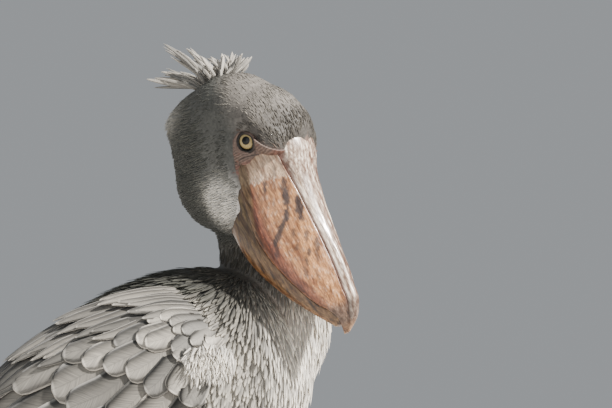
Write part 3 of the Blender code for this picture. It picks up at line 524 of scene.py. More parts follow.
def head_surface(rays, grow):
    def inside_at(reach):
        return merged_depth(HEAD_CORE + rays * reach[:, None], HEAD_FORMS) < grow

    return HEAD_CORE + rays * outer_reach(inside_at, len(rays), *HEAD_REACH, rounds=30)[:, None]


def wing_point(t, q, height):
    """A place on the right wing: t along it, q across it from its upper border, above its core."""
    top, low = along(evenly(WING_TOP), t), along(evenly(WING_LOW), t)
    return WING_SPINE.point(t, between(top, low, q), np.asarray(height) - WING_CORE_DEPTH)


def nearest_tree(points):
    tree = KDTree(len(points))
    for i, point in enumerate(points):
        tree.insert(point, i)
    tree.balance()
    return tree


def wing_place(points):
    """How far along and across its wing each point lies, and how far it is from the wing's core."""
    t, q = np.meshgrid(np.linspace(0.0, 0.7, 90), np.linspace(-0.1, 1.1, 60))
    t, q = t.ravel(), q.ravel()
    tree = nearest_tree(wing_point(t, q, 0.0))
    folded = np.where(points[:, 1:2] > 0.0, mirror(points), points)
    found = [tree.find(Vector(point))[1:] for point in folded]
    nearest = np.array([index for index, _ in found])
    return t[nearest], q[nearest], np.array([gap for _, gap in found])


def wing_pad():
    """The fleshy fore part of the right wing, thick enough to melt into the flank."""
    q = np.linspace(0.0, 1.0, 22)[None, :]
    t = np.linspace(0.03, 0.60, 40)[:, None] + 0.05 * (2 * q - 1.0) ** 2
    outer = wing_point(t, q * np.ones_like(t), -0.0015)
    inner = wing_point(t, q * np.ones_like(t), -0.0300)
    return tube_mesh(np.concatenate([outer, inner[:, ::-1]], axis=1)[:, ::-1])


def box_middle(node):
    low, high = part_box(node)
    return np.array((low + high) / 2)


SHIFT = box_middle("eye_right") - to_world([0.0, 0.0, EYE_OUT])


# Helpers for meshes and objects.
def linked(name, data):
    made = bpy.data.objects.new(name, data)
    bpy.context.scene.collection.objects.link(made)
    return made


def plain_mesh(name, points, faces):
    mesh = bpy.data.meshes.new(name)
    mesh.from_pydata(np.asarray(points, float).tolist(), [], faces)
    return mesh


def tell(mesh, name, values):
    """Stores a number, a vector or, under the name mark, a colour for each point of a mesh."""
    values = np.asarray(values, np.float32)
    kind, field = ("FLOAT", "value") if values.ndim == 1 else ("FLOAT_VECTOR", "vector")
    if name == "mark":
        kind, field = "FLOAT_COLOR", "color"
        values = np.concatenate([values, np.ones((len(values), 1), np.float32)], axis=1)
    mesh.attributes.new(name, kind, "POINT").data.foreach_set(field, values.ravel())


def closed_mesh(name, points, faces, **facts):
    """A mesh with its faces outwards and facts told at its points."""
    mesh = plain_mesh(name, points, faces)
    work = bmesh.new()
    work.from_mesh(mesh)
    bmesh.ops.recalc_face_normals(work, faces=work.faces)
    work.to_mesh(mesh)
    work.free()
    for key, values in facts.items():
        tell(mesh, key, values)
    return mesh


def place(name, mesh, finish):
    """A finished object at the origin, its mesh shifted to where the solids stand."""
    mesh.transform(Matrix.Translation(Vector(SHIFT)))
    made = linked(name, mesh)
    mesh.materials.clear()
    mesh.materials.append(FINISH[finish])
    mesh.shade_smooth()
    return made


def read_out(rows, field, width, kind=np.float32):
    """What a mesh holds for its points, edges or corners, as rows of this many numbers."""
    flat = np.empty(len(rows) * width, kind)
    rows.foreach_get(field, flat)
    return flat.reshape(-1, width)


def coordinates(mesh):
    return read_out(mesh.vertices, "co", 3).astype(float)


def corner_points(mesh):
    return read_out(mesh.loops, "vertex_index", 1, np.int32)[:, 0]


def plain_from(source):
    """A plain mesh of an object as its modifiers leave it."""
    bpy.context.view_layer.update()
    graph = bpy.context.evaluated_depsgraph_get()
    return bpy.data.meshes.new_from_object(source.evaluated_get(graph))


def relaxed(mesh, rounds, share):
    """Evens a mesh out by drawing each point towards its neighbours."""
    edges = read_out(mesh.edges, "vertices", 2, np.int32)
    points = coordinates(mesh)
    count = np.bincount(edges.ravel(), minlength=len(points))[:, None]
    for _ in range(rounds):
        total = np.zeros_like(points)
        np.add.at(total, edges[:, 0], points[edges[:, 1]])
        np.add.at(total, edges[:, 1], points[edges[:, 0]])
        points = between(points, total / count, share)
    mesh.vertices.foreach_set("co", points.astype(np.float32).ravel())
    mesh.update()


def skin_mesh():
    """One closed skin over head, neck, trunk, thighs and wing roots, with no seam between them."""
    pad, pad_faces = wing_pad()
    parts = [
        Spine(TRUNK, TRUNK_SQUARENESS, TRUNK_REACH).tube(60, 64, -BODY_COAT),
        Spine(NECK).tube(30, 48, -NECK_COAT),
        head_skin(), (pad, pad_faces), (mirror(pad), [face[::-1] for face in pad_faces]),
        limb(THIGH, 1).tube(36, 32, -THIGH_COAT), limb(THIGH, -1).tube(36, 32, -THIGH_COAT),
    ]
    faces, start = [], 0
    for spots, polygons in parts:
        faces += [tuple(start + i for i in face) for face in polygons]
        start += len(spots)
    source = linked("skin_source", plain_mesh("skin", np.concatenate([spots for spots, _ in parts]), faces))
    change = source.modifiers.new("melt", "REMESH")
    change.mode = "VOXEL"
    change.voxel_size = SKIN_VOXEL
    made = plain_from(source)
    bpy.data.objects.remove(source)
    relaxed(made, SMOOTH_ROUNDS, SMOOTH_SHARE)
    return made


def unwrap(owner):
    """Lays the skin out flat, by its own shape, in the map OFBake and a copy that feathers read."""
    bpy.context.view_layer.objects.active = owner
    owner.select_set(True)
    owner.data.uv_layers.new(name="OFBake")
    bpy.ops.object.mode_set(mode="EDIT")
    bpy.ops.mesh.select_all(action="SELECT")
    bpy.ops.uv.smart_project(angle_limit=math.radians(66), island_margin=0.002)
    bpy.ops.object.mode_set(mode="OBJECT")
    owner.select_set(False)
    layers = owner.data.uv_layers
    spots = read_out(layers["OFBake"].data, "uv", 2)
    layers.new(name="root_place")
    layers["root_place"].data.foreach_set("uv", spots.ravel())
    layers.active = layers["OFBake"]
    return spots


def blend(base, *layers):
    """Colours laid one over another, each by its own weight at each point."""
    made = np.tile(np.array(base), (len(layers[0][1]), 1))
    for colour, weight in layers:
        made = between(made, np.array(colour), weight[:, None])
    return made


def ripple(points, size, seed):
    """A soft pattern of waves between -1 and 1, about this size across."""
    draw = np.random.default_rng(seed)
    total = np.zeros(len(points))
    for _ in range(7):
        way = unit(draw.normal(size=3)) * draw.uniform(0.6, 1.6) / size
        total += np.sin(points @ way * 2 * math.pi + draw.uniform(0, 2 * math.pi))
    return total / 4.0


class Regions:
    """How far each point of the skin belongs to each part of the bird, from 0 to 1."""

    def __init__(self, points):
        self.points, self.local = points, to_head(points)
        self.depth = merged_depth(self.local, SKIN_FORMS)
        self.x, self.y, self.z = points[:, 0], points[:, 1], points[:, 2] - EYE_HEIGHT
        self.t, self.q, self.off = wing_place(points)
        x, y, z = self.x, self.y, self.z
        a, b = self.local[:, 0], self.local[:, 1]
        self.head = step(0.014, 0.002, self.depth)
        self.jaw = self.head * step(-0.030, -0.060, b)
        self.nape = self.head * np.exp(-oval(a, b, (-0.083, -0.080), (0.016, 0.020)))
        ruffled = np.exp(-oval(a, b, (0.044, -0.058), (0.026, 0.017))) * self.head
        self.cheek = np.clip(1.8 * ruffled, 0.0, 1.0)
        rows = np.array(NECK)
        beside = np.hypot(x - along(rows[::-1, [2, 0]], z), y + along(rows[::-1, [2, 1]], z))
        self.by_neck = step(1.45, 1.10, beside / along(rows[::-1, [2, 4]], z))
        self.neck = step(-0.26, -0.12, z) * np.maximum(self.by_neck, self.head)
        self.chest = step(-0.01, 0.06, x) * (1 - self.head)
        self.belly = step(-0.30, -0.42, z)
        self.leg = step(-0.445, -0.475, z) * step(-0.19, -0.165, x)
        self.wing = step(0.020, 0.008, self.off) * step(0.0, 0.12, self.q)
        self.tuft = step(1.15, 0.85, oval(x, z, (-0.040, -0.252), (0.028, 0.017))) * (y < -0.05)


def coat_lie(at, away):
    """Which way the feathers lie: back over the head, back and down the body, down the legs."""
    sweep = np.radians(82.0) * step(0.045, -0.045, at.local[:, 1])
    on_head = np.stack([-np.cos(sweep), -np.sin(sweep), 0 * sweep], axis=1) @ HEAD_AXES
    front = step(-0.17, 0.07, at.x)
    outer = step(0.04, 0.11, np.abs(at.y))
    on_body = unit(np.stack([
        -(1.02 - front), 0.05 * np.sign(at.y) * outer, -(0.30 + 0.75 * front),
    ], axis=1))
    down = np.array([0.0, 0.0, -1.0])
    on_body = unit(between(on_body, down, at.leg[:, None]))
    hanging = step(0.42, 0.62, at.q)[:, None]
    on_wing = unit(np.array([-0.70, 0.0, -0.72]) + hanging * np.array([0.45, 0.0, -0.23]))
    on_body = unit(between(on_body, on_wing, at.wing[:, None]))
    lie = between(on_body, on_head, at.head[:, None])
    return unit(lie - away * np.sum(lie * away, axis=1, keepdims=True))


def coat_sizes(at):
    """How long and wide the feathers are, and how far they lift off the skin."""
    long, wide = HEAD_LONG + 0.004 * at.jaw, HEAD_BROAD + 0.0006 * at.jaw
    tall = between(BODY_LONG, NECK_LONG, at.neck)
    broad = between(BODY_BROAD, NECK_BROAD, at.neck)
    long = between(tall, long, at.head) - 0.012 * at.leg
    wide = broad + 0.0030 * at.belly * (1 - at.leg) + (wide - broad - 0.0030 * at.belly) * at.head
    long = (long + 0.005 * at.nape) * (1.0 - 0.20 * at.wing)
    wide = wide * (1.0 - 0.34 * at.chest) * (1.0 + 0.20 * at.wing)
    lift = 0.13 - 0.04 * at.head + 0.03 * at.jaw + 0.30 * at.nape + 0.32 * at.cheek
    lift = lift - 0.03 * at.chest - 0.03 * at.wing + 0.45 * at.tuft
    return between(long, DOWN_LONG, at.tuft), between(wide, DOWN_BROAD, at.tuft), lift


def coat_colours(at):
    """The markings that skin and coat share, some of them painted shade or painted light."""
    local, b = at.local, at.local[:, 1]
    # Painted light: the pale chest colour is laid over the sunlit upper front.
    front_lit = step(-0.02, 0.075, at.x) * step(-0.13, -0.21, at.z)
    brow = at.head * step(-0.035, 0.005, local[:, 0]) * step(-0.002, 0.016, b)
    mark = blend(
        # Painted shade on the neck and mantle; the chest colour is partly painted light.
        SHADED_MANTLE, (SHADED_NECK_GREY, at.neck), (CHEST_PALE_AND_LIT, front_lit), (BELLY, at.belly), (SHOULDER, 0.9 * at.wing),
        # Painted shade on the head's lower sides, below the eye.
        (CROWN, at.head), (FOREHEAD, 0.8 * brow), (SHADED_CHEEK, at.head * step(0.010, -0.020, b)),
        (JAW_PALE, at.cheek), (NAPE_TUFT, 0.8 * at.nape),
    )
    mottle = 0.08 * ripple(at.points, 0.020, 3) + (0.06 + 0.10 * at.head) * ripple(at.points, 0.006, 4)
    mark = mark * (1.0 + mottle)[:, None]
    folds = ripple(local * np.array([0.6, 1.6, 1.0]), 0.006, 14)
    face = blend(
        FACE_SKIN, (FACE_ROSE, step(0.0, 0.9, folds) * step(-0.004, -0.018, b)),
        # Painted shade in the troughs of the bare skin's fold pattern.
        (FACE_PAINTED_SHADE, 0.8 * step(-0.1, -0.9, folds)),
    )
    lores = bareness(local) * step(0.020, 0.008, at.depth) * step(-0.036, -0.029, b)
    mark = between(mark, face, lores[:, None])
    return between(mark, np.array(DOWN), at.tuft[:, None])


def coat_parts(at):
    """Where each piece of the coat grows."""
    b = at.local[:, 1]
    covered = step(0.024, 0.016, at.off) * (at.t > along(WING_FRONT, at.q)) * (at.q > -0.02) * (at.q < 1.05)
    feathered = np.where(at.depth < 0.025, 1.0 - bareness(at.local), 1.0)
    small = step(0.35, 0.65, at.head * feathered)
    below_head = 1.0 - step(0.3, 0.7, at.head)
    upper = step(-0.235, -0.195, at.z) * step(0.3, 0.7, at.by_neck)
    large = below_head * (1.0 - upper) * (1.0 - covered) * (1.0 - at.tuft)
    crown, jaw, fore, low = b > -0.018, b < -0.060, at.x > -0.105, at.z < -0.345
    return {
        "crown_part": small * crown, "cheek_part": small * ~crown * ~jaw, "jaw_part": small * jaw,
        "neck_part": below_head * upper * feathered, "breast_part": large * fore * ~low,
        "mantle_part": large * ~fore * ~low, "belly_part": large * low, "down_part": at.tuft,
    }


# Small helpers for building node trees.
def node(tree, kind, **settings):
    made = tree.nodes.new(kind)
    for key, value in settings.items():
        setattr(made, key, value)
    return made


def inlet(made, name):
    return next(s for s in made.inputs if s.enabled and s.name == name)


def outlet(made, name):
    return next(s for s in made.outputs if s.enabled and s.name == name)


def give(tree, target, value):
    """Links a socket to a node's input, or sets that input's value."""
    if isinstance(value, bpy.types.NodeSocket):
        tree.links.new(value, target)
    elif value is not None:
        target.default_value = value


def feed(tree, made, **values):
    """Sets or links a node's inputs by name, with _ for a space."""
    for key, value in values.items():
        give(tree, inlet(made, key.replace("_", " ")), value)
    return made


def maths(tree, operation, a, b=None):
    made = node(tree, "ShaderNodeMath", operation=operation)
    give(tree, made.inputs[0], a)
    give(tree, made.inputs[1], b)
    return made.outputs[0]


def vector_maths(tree, operation, a, b=None, scale=None):
    made = node(tree, "ShaderNodeVectorMath", operation=operation)
    give(tree, made.inputs[0], a)
    give(tree, made.inputs[1], b)
    if scale is not None:
        tree.links.new(scale, inlet(made, "Scale"))
    return made.outputs[0]


def told(tree, name, kind="FLOAT"):
    made = node(tree, "GeometryNodeInputNamedAttribute", data_type=kind)
    feed(tree, made, Name=name)
    return outlet(made, "Attribute")


def drawn(tree, low, high, seed, kind="FLOAT"):
    """A random number or vector for each point, between low and high."""
    made = node(tree, "FunctionNodeRandomValue", data_type=kind)
    feed(tree, made, Min=low, Max=high, Seed=seed)
    return outlet(made, "Value")


def varied(tree, name, low, high, seed, size):
    """A size told at each point, varied at random."""
    drawn_size = maths(tree, "MULTIPLY", told(tree, name), drawn(tree, low, high, seed))
    return maths(tree, "MULTIPLY", drawn_size, size)


def planter_inputs(tree):
    rows = (("Skin", "Geometry"), ("Feather", "Object"), ("Part", "String"), ("Spacing", "Float"),
            ("Density", "Float"), ("Seed", "Int"), ("Wander", "Float"), ("Patch", "Float"),
            ("Finish", "Material"), ("Size", "Float"), ("Sink", "Float"))
    names = {}
    for name, kind in rows:
        made = tree.interface.new_socket(name=name, in_out="INPUT", socket_type="NodeSocket" + kind)
        names[name] = made.identifier
    tree.interface.new_socket(name="Coat", in_out="OUTPUT", socket_type="NodeSocketGeometry")
    return names


def feather_roots(tree, given):
    """Points spread over the skin, each with a tint of its own and sunk into the skin."""
    points = node(tree, "GeometryNodeDistributePointsOnFaces", distribute_method="POISSON")
    feed(tree, points, Mesh=given["Skin"], Distance_Min=given["Spacing"], Density_Max=given["Density"],
         Density_Factor=told(tree, given["Part"]), Seed=given["Seed"])
    tinted = node(tree, "GeometryNodeStoreNamedAttribute", data_type="FLOAT", domain="POINT")
    feed(tree, tinted, Geometry=outlet(points, "Points"), Name="tint", Value=drawn(tree, 0.0, 1.0, 11))
    depth = maths(tree, "MULTIPLY", given["Sink"], -1.0)
    sunk = node(tree, "GeometryNodeSetPosition")
    feed(tree, sunk, Geometry=outlet(tinted, "Geometry"),
         Offset=vector_maths(tree, "SCALE", told(tree, "away", "FLOAT_VECTOR"), scale=depth))
    return outlet(sunk, "Geometry")


def feather_turn(tree, given):
    """How each feather is turned: along the coat's lie, lifted off the skin, and strayed a little."""
    away = told(tree, "away", "FLOAT_VECTOR")
    raised = maths(tree, "MULTIPLY", told(tree, "lift"), drawn(tree, 0.75, 1.25, 12))
    run = vector_maths(tree, "ADD", told(tree, "lie", "FLOAT_VECTOR"),
                       vector_maths(tree, "SCALE", away, scale=raised))
    stray = drawn(tree, (-1.0, -1.0, -1.0), (1.0, 1.0, 1.0), 13, "FLOAT_VECTOR")
    run = vector_maths(tree, "ADD", run, vector_maths(tree, "SCALE", stray, scale=given["Wander"]))
    turn = node(tree, "FunctionNodeAxesToRotation", primary_axis="X", secondary_axis="Z")
    tree.links.new(run, turn.inputs[0])
    tree.links.new(away, turn.inputs[1])
    return turn.outputs[0]


def planter():
    """A tree that plants feathers over a skin, by the lie, size and colour told at each point."""
    tree = bpy.data.node_groups.new("feather_planter", "GeometryNodeTree")
    names = planter_inputs(tree)
    given = node(tree, "NodeGroupInput").outputs
    size = node(tree, "ShaderNodeCombineXYZ")
    length = varied(tree, "long", 0.78, 1.20, 14, given["Size"])
    feed(tree, size, X=length, Y=varied(tree, "wide", 0.80, 1.25, 15, given["Size"]), Z=length)
    feather = node(tree, "GeometryNodeObjectInfo", transform_space="ORIGINAL")
    feed(tree, feather, Object=given["Feather"])
    planted = node(tree, "GeometryNodeInstanceOnPoints")
    feed(tree, planted, Points=feather_roots(tree, given), Instance=outlet(feather, "Geometry"),
         Rotation=feather_turn(tree, given), Scale=size.outputs[0])
    real = node(tree, "GeometryNodeRealizeInstances")
    feed(tree, real, Geometry=planted.outputs[0])
    local = node(tree, "ShaderNodeCombineXYZ")
    feed(tree, local, X=told(tree, "along"), Y=maths(tree, "MULTIPLY", told(tree, "across"), 0.5))
    patch = vector_maths(tree, "ADD", told(tree, "root_place", "FLOAT_VECTOR"),
                         vector_maths(tree, "SCALE", local.outputs[0], scale=given["Patch"]))
    mapped = node(tree, "GeometryNodeStoreNamedAttribute", data_type="FLOAT2", domain="CORNER")
    feed(tree, mapped, Geometry=real.outputs[0], Name="OFBake", Value=patch)
    coloured = node(tree, "GeometryNodeSetMaterial")
    feed(tree, coloured, Geometry=outlet(mapped, "Geometry"), Material=given["Finish"])
    tree.links.new(coloured.outputs[0], node(tree, "NodeGroupOutput").inputs[0])
    return tree, names


def plume(name, stations, thick, bend):
    """A small feather to plant: a thin closed vane along X, its section a low triangle."""
    points, faces, spots = [], [], []
    for s, half, flat in stations:
        drop = -bend * s * s
        x = s - BEHIND_ROOT
        points += [(x, -half, drop), (x, 0.0, drop + thick * flat), (x, half, drop)]
        spots += [(s, -1.0), (s, 0.0), (s, 1.0)]
    rings = len(stations)
    for k in range(rings - 1):
        a, b = 3 * k, 3 * (k + 1)
        for i, j in ((0, 1), (1, 2), (2, 0)):
            faces.append((a + i, b + i, b + j, a + j))
    faces += [(0, 1, 2), (3 * rings - 1, 3 * rings - 2, 3 * rings - 3)]
    along_it, across = np.array(spots).T
    return linked(name, closed_mesh(name, points, faces, along=along_it, across=across))


def plant(name, ground, tree, names, **inputs):
    """Runs the planter over the skin and keeps what it makes as a plain piece."""
    field = linked("field", ground)
    change = field.modifiers.new("plant", "NODES")
    change.node_group = tree
    for key, value in inputs.items():
        change[names[key]] = value
    mesh = plain_from(field)
    bpy.data.objects.remove(field)
    mesh.name = name
    mesh.shade_smooth()
    return linked(name, mesh)


class Plumage:
    """Gathers large feathers, each a thin closed vane that bends with what it lies on."""

    def __init__(self, ground, seed):
        self.points, self.faces, self.patches = [], [], []
        self.facts = {"along": [], "across": [], "tint": [], "pale": []}
        self.ground = ground
        self.draw = np.random.default_rng(seed)

    def vane(self, centres, ups, halves, stations, slope=0.0, arch=0.0, pale=1.0):
        run = np.gradient(centres, axis=0)
        side = unit(np.cross(run, ups))
        up = unit(np.cross(side, run))
        rings = []
        for across, face in VANE_SECTION:
            lift = slope * halves * across - arch * (halves * across) ** 2
            thick = between(VANE_EDGE, VANE_THICKNESS, 1 - abs(across))
            rise = up * (lift + face * thick / 2)[:, None]
            rings.append(centres - side * (halves * across)[:, None] + rise)
        points, faces = tube_mesh(np.stack(rings, axis=1))
        start = sum(len(p) for p in self.points)
        self.points.append(points)
        self.faces += [tuple(start + i for i in face) for face in faces]
        sides = len(VANE_SECTION)
        along_it = np.repeat(stations, sides)
        across = np.tile([a for a, _ in VANE_SECTION], len(centres))
        chance = np.full(len(points), self.draw.uniform())
        for key, values in zip(self.facts, (along_it, across, chance, np.full(len(points), pale))):
            self.facts[key].append(values)
        spot = self.ground.place(centres[1])
        self.patches.append(spot + np.stack([along_it, across * 0.5], axis=1) * BAKE_PATCH)

    def piece(self, name, finish, flip=False):
        points = np.concatenate(self.points)
        facts = {key: np.concatenate(values) for key, values in self.facts.items()}
        mesh = closed_mesh(name, mirror(points) if flip else points, self.faces, **facts)
        patch = np.concatenate(self.patches)[corner_points(mesh)].astype(np.float32)
        mesh.uv_layers.new(name="OFBake").data.foreach_set("uv", patch.ravel())
        return place(name, mesh, finish)


class Ground:
    """Finds the place on the skin's unwrap that lies nearest to a root."""

    def __init__(self, mesh, spots):
        self.spots = np.zeros((len(mesh.vertices), 2))
        self.spots[corner_points(mesh)] = spots
        self.tree = nearest_tree(coordinates(mesh))

    def place(self, point):
        return self.spots[self.tree.find(Vector(point))[1]]


def vane_shape(name):
    """A vane's stations from root to tip, and its share of the half width at each."""
    return (np.array(column) for column in zip(*VANE_SHAPES[name]))


def feather_line(low, high, share, s):
    row = [between(a, b, share) for a, b in zip(low, high)]
    return between(row[0], row[2], s), between(row[1], row[3], s)


def wing_tier(plumage, count, low, high, half, lift, rise_step, shape, pale):
    """One tier of the right wing, each feather's lower edge over the upper edge of the one below."""
    stations, shares = vane_shape(shape)
    spots = [wing_point(*feather_line(low, high, i / (count - 1), 0.7), 0.0) for i in range(count)]
    spacing = np.mean([np.linalg.norm(b - a) for a, b in zip(spots, spots[1:])])
    slope = min(0.16, (VANE_THICKNESS + VANE_GAP - rise_step / 2) / spacing + 0.03)
    draw = plumage.draw
    for i in range(count):
        t, q = feather_line(low, high, i / (count - 1), stations)
        t = t + draw.normal(0.0, STRAY_ALONG) * stations
        q = q + draw.normal(0.0, STRAY_ACROSS) * stations + 0.03 * np.sin(math.pi * stations)
        q = q + 0.010 * np.sin(7.0 * stations + draw.uniform(0.0, 6.3)) * stations
        rise = between(ROOT_RISE, lift, stations) + i * rise_step * stations
        rise[0] = ROOT_SUNK
        rise = rise + draw.uniform(-0.0004, 0.0006) * stations
        centres = wing_point(t, q, rise)
        ups = unit(wing_point(t, q, rise + 0.01) - centres)
        section = WING_SPINE.section(t)
        width = half * shares * draw.uniform(0.88, 1.12)
        plumage.vane(centres, ups, width, stations, -slope, 1.0 / (section[3] + section[4]), pale)


def wing_piece(ground, name, flip):
    plumage = Plumage(ground, 21)
    for row in WING_TIERS:
        wing_tier(plumage, *row)
    return plumage.piece(name, "wing_feathers", flip)


def tail_piece(ground):
    """The tail as a fan of vanes in three layers, the middle ones on top."""
    plumage = Plumage(ground, 31)
    root, tip = TAIL_ROOT + EYE_ABOVE_FLOOR, TAIL_TIP + EYE_ABOVE_FLOOR
    run = tip - root
    back = unit(np.array([run[2], 0.0, -run[0]]))
    stations, shares = vane_shape("rounded")
    for layer, (count, reach, rise) in enumerate(TAIL_LAYERS):
        for i in range(count):
            u = (2 * i + 1) / count - 1.0
            level = 0.0080 * (1.0 - abs(u)) * (1 - 0.3 * layer) + (0.0007 if u > 0 else 0.0) + rise
            length = stations * reach * (1.0 - 0.06 * u * u)
            y = u * (TAIL_SPREAD[0] + (TAIL_SPREAD[1] - TAIL_SPREAD[0]) * stations * reach)
            height = level * np.minimum(1.0, 0.3 + stations) - 0.004 * (1 - 0.5 * layer)
            if layer:
                height = height * (1 - 0.6 * stations)
            beside = np.stack([0 * y, y, 0 * y], axis=1)
            centres = root + run * length[:, None] + beside + back * height[:, None]
            plumage.vane(centres, np.tile(back, (len(y), 1)), TAIL_HALF * shares, stations, pale=0.55)
    return plumage.piece("tail_feathers", "wing_feathers")


def crest_rows(draw):
    """The long feathers of the crest, and shorter soft ones about their roots."""
    rows = [(np.array(root), np.array(tip), 0.72 * half, 1.0) for root, tip, half in CREST]
    for root, tip, half in CREST:
        for _ in range(CREST_SHORT):
            off = draw.normal(0.0, 0.0040, 3) * np.array([1.0, 1.0, 1.2])
            away = draw.normal(0.0, 0.0035, 3)
            reach = draw.uniform(0.35, 0.95)
            start = to_world(np.array(root)) - EYE_ABOVE_FLOOR
            end = start + (np.array(tip) - start) * reach + away
            rows.append((np.array(root) + off, end, half * draw.uniform(0.30, 0.62), 0.9))
    return rows


def crest_piece(ground):
    """The crest, feather by feather."""
    plumage = Plumage(ground, 41)
    draw = plumage.draw
    stations, shares = vane_shape("crest")
    for root, tip, half, pale in crest_rows(draw):
        start = to_world(head_surface(unit(root - HEAD_CORE)[None, :], -0.005))[0]
        run = tip + EYE_ABOVE_FLOOR - start
        reach = np.linalg.norm(run)
        bow = CROWNWARD * 0.07 * reach + draw.normal(0.0, 0.02, 3) * reach
        centres = start + run * stations[:, None] + bow * np.sin(math.pi * stations)[:, None]
        ups = np.tile(unit(np.array([0.1, -1.0, 0.1]) + draw.normal(0.0, 0.25, 3)), (len(stations), 1))
        plumage.vane(centres, ups, half * shares, stations, 0.0, 30.0, pale)
    return plumage.piece("crest", "crest_feathers")


def closed_curve(points, parts):
    """A smooth closed line through rows of points, with this many parts between each two."""
    before, after = np.roll(points, 1, axis=1), np.roll(points, -1, axis=1)
    later = np.roll(points, -2, axis=1)
    made = []
    for k in range(parts):
        s = k / parts
        made.append(0.5 * (
            2 * points + (after - before) * s + (2 * before - 5 * points + 4 * after - later) * s**2
            + (3 * points - before - 3 * after + later) * s**3
        ))
    return np.stack(made, axis=2).reshape(points.shape[0], -1, points.shape[2])


def bill_rings(a, right):
    """Sections of the bill from its right half, each place a half width and a height."""
    section = right + [(-c, b) for c, b in right[-2:0:-1]]
    return np.stack([np.stack([a, b, c], axis=-1) for c, b in section], axis=1)


def upper_lines(a):
    """The upper bill's ridge, edge and groove heights, then its and its ridge's half widths."""
    ridge, edge, wide = along(BILL_RIDGE, a), along(BILL_EDGE, a), along(BILL_WIDE, a)
    strip = np.minimum(along(RIDGE_WIDE, a), 0.8 * wide)
    groove = ridge - np.minimum(along(RIDGE_TALL, a), 0.6 * (ridge - edge))
    return ridge, edge, groove, wide, strip


def upper_rings(a):
    """The upper bill's sections: a raised ridge, a groove each side, bulging walls, a flat palate."""
    ridge, edge, groove, wide, strip = upper_lines(a)
    wall = groove - edge
    right = [(0 * a, ridge)]
    right += [(share * strip, ridge - drop * (ridge - groove)) for share, drop in RIDGE_SECTION]
    right += [(0.97 * strip, groove + 0.0016), (strip, groove - 0.0006), (1.05 * strip, groove + 0.0010),
              (between(strip, wide, 0.16), groove - 0.06 * wall)]
    right += [(between(strip, wide, share), edge + rise * wall) for share, rise in WALL_SECTION]
    right += [(wide, edge + 0.05 * wall), (0.985 * wide, edge + 0.01 * wall), (0.95 * wide, edge + 0.0003),
              (0.5 * wide, edge + 0.0006), (0 * a, edge + 0.001)]
    return bill_rings(a, right)


def lower_rings(a):
    """The lower bill's sections: upright sides that turn in to a flat underside."""
    top, keel = along(BILL_EDGE, a) - MOUTH, along(BILL_KEEL, a)
    wide = 0.94 * along(BILL_WIDE, a)
    deep = top - keel
    return bill_rings(a, [
        (0 * a, top), (0.85 * wide, top), (0.97 * wide, top - 0.02 * deep), (wide, top - 0.08 * deep),
        (wide, top - 0.25 * deep), (0.985 * wide, keel + 0.50 * deep), (0.945 * wide, keel + 0.28 * deep),
        (0.88 * wide, keel + 0.14 * deep), (0.78 * wide, keel + 0.03 * deep), (0.64 * wide, keel),
        (0.30 * wide, keel + 0.05 * deep), (0 * a, keel + 0.08 * deep),
    ])


def left_marks():
    draw = np.random.default_rng(5)
    return [
        (draw.uniform(0.05, 0.19), draw.uniform(0.3, 1.0), draw.uniform(0.005, 0.015),
         draw.uniform(0.0012, 0.0032), draw.uniform(-0.2, 0.2), draw.uniform(0.4, 0.9)) for _ in range(14)
    ]


def bill_marks(a, height, side, rough):
    """How dark the bill's marks are at each point; the left side has its own, drawn at random."""
    dark = np.zeros(len(a))
    for rows, way in ((BILL_MARKS, 1), (left_marks(), -1)):
        for place_a, place_h, long, wide, slant, strength in rows:
            ahead = a - place_a
            beside = (height - place_h) * 0.060 - ahead * slant
            near = (ahead / long) ** 2 + (beside / wide) ** 2
            dark = np.maximum(dark, strength * step(1.5, 0.6, near + rough) * (side * way > 0))
    return dark


def streaks(a, around, seed, fine):
    """Fine lines along the bill, between 0 and 1."""
    draw = np.random.default_rng(seed)
    total = np.zeros(len(a))
    for _ in range(6):
        total += np.sin(around * fine * draw.uniform(0.6, 1.8) + draw.uniform(0, 6.3)
                        + 1.6 * np.sin(a * draw.uniform(20, 60) + draw.uniform(0, 6.3)))
    return 0.5 + total / 12.0


def drawn_out(local, share, size, seed):
    """A pattern of waves drawn out along the bill."""
    return ripple(local * np.array([share, 1.0, 1.0]), size, seed)


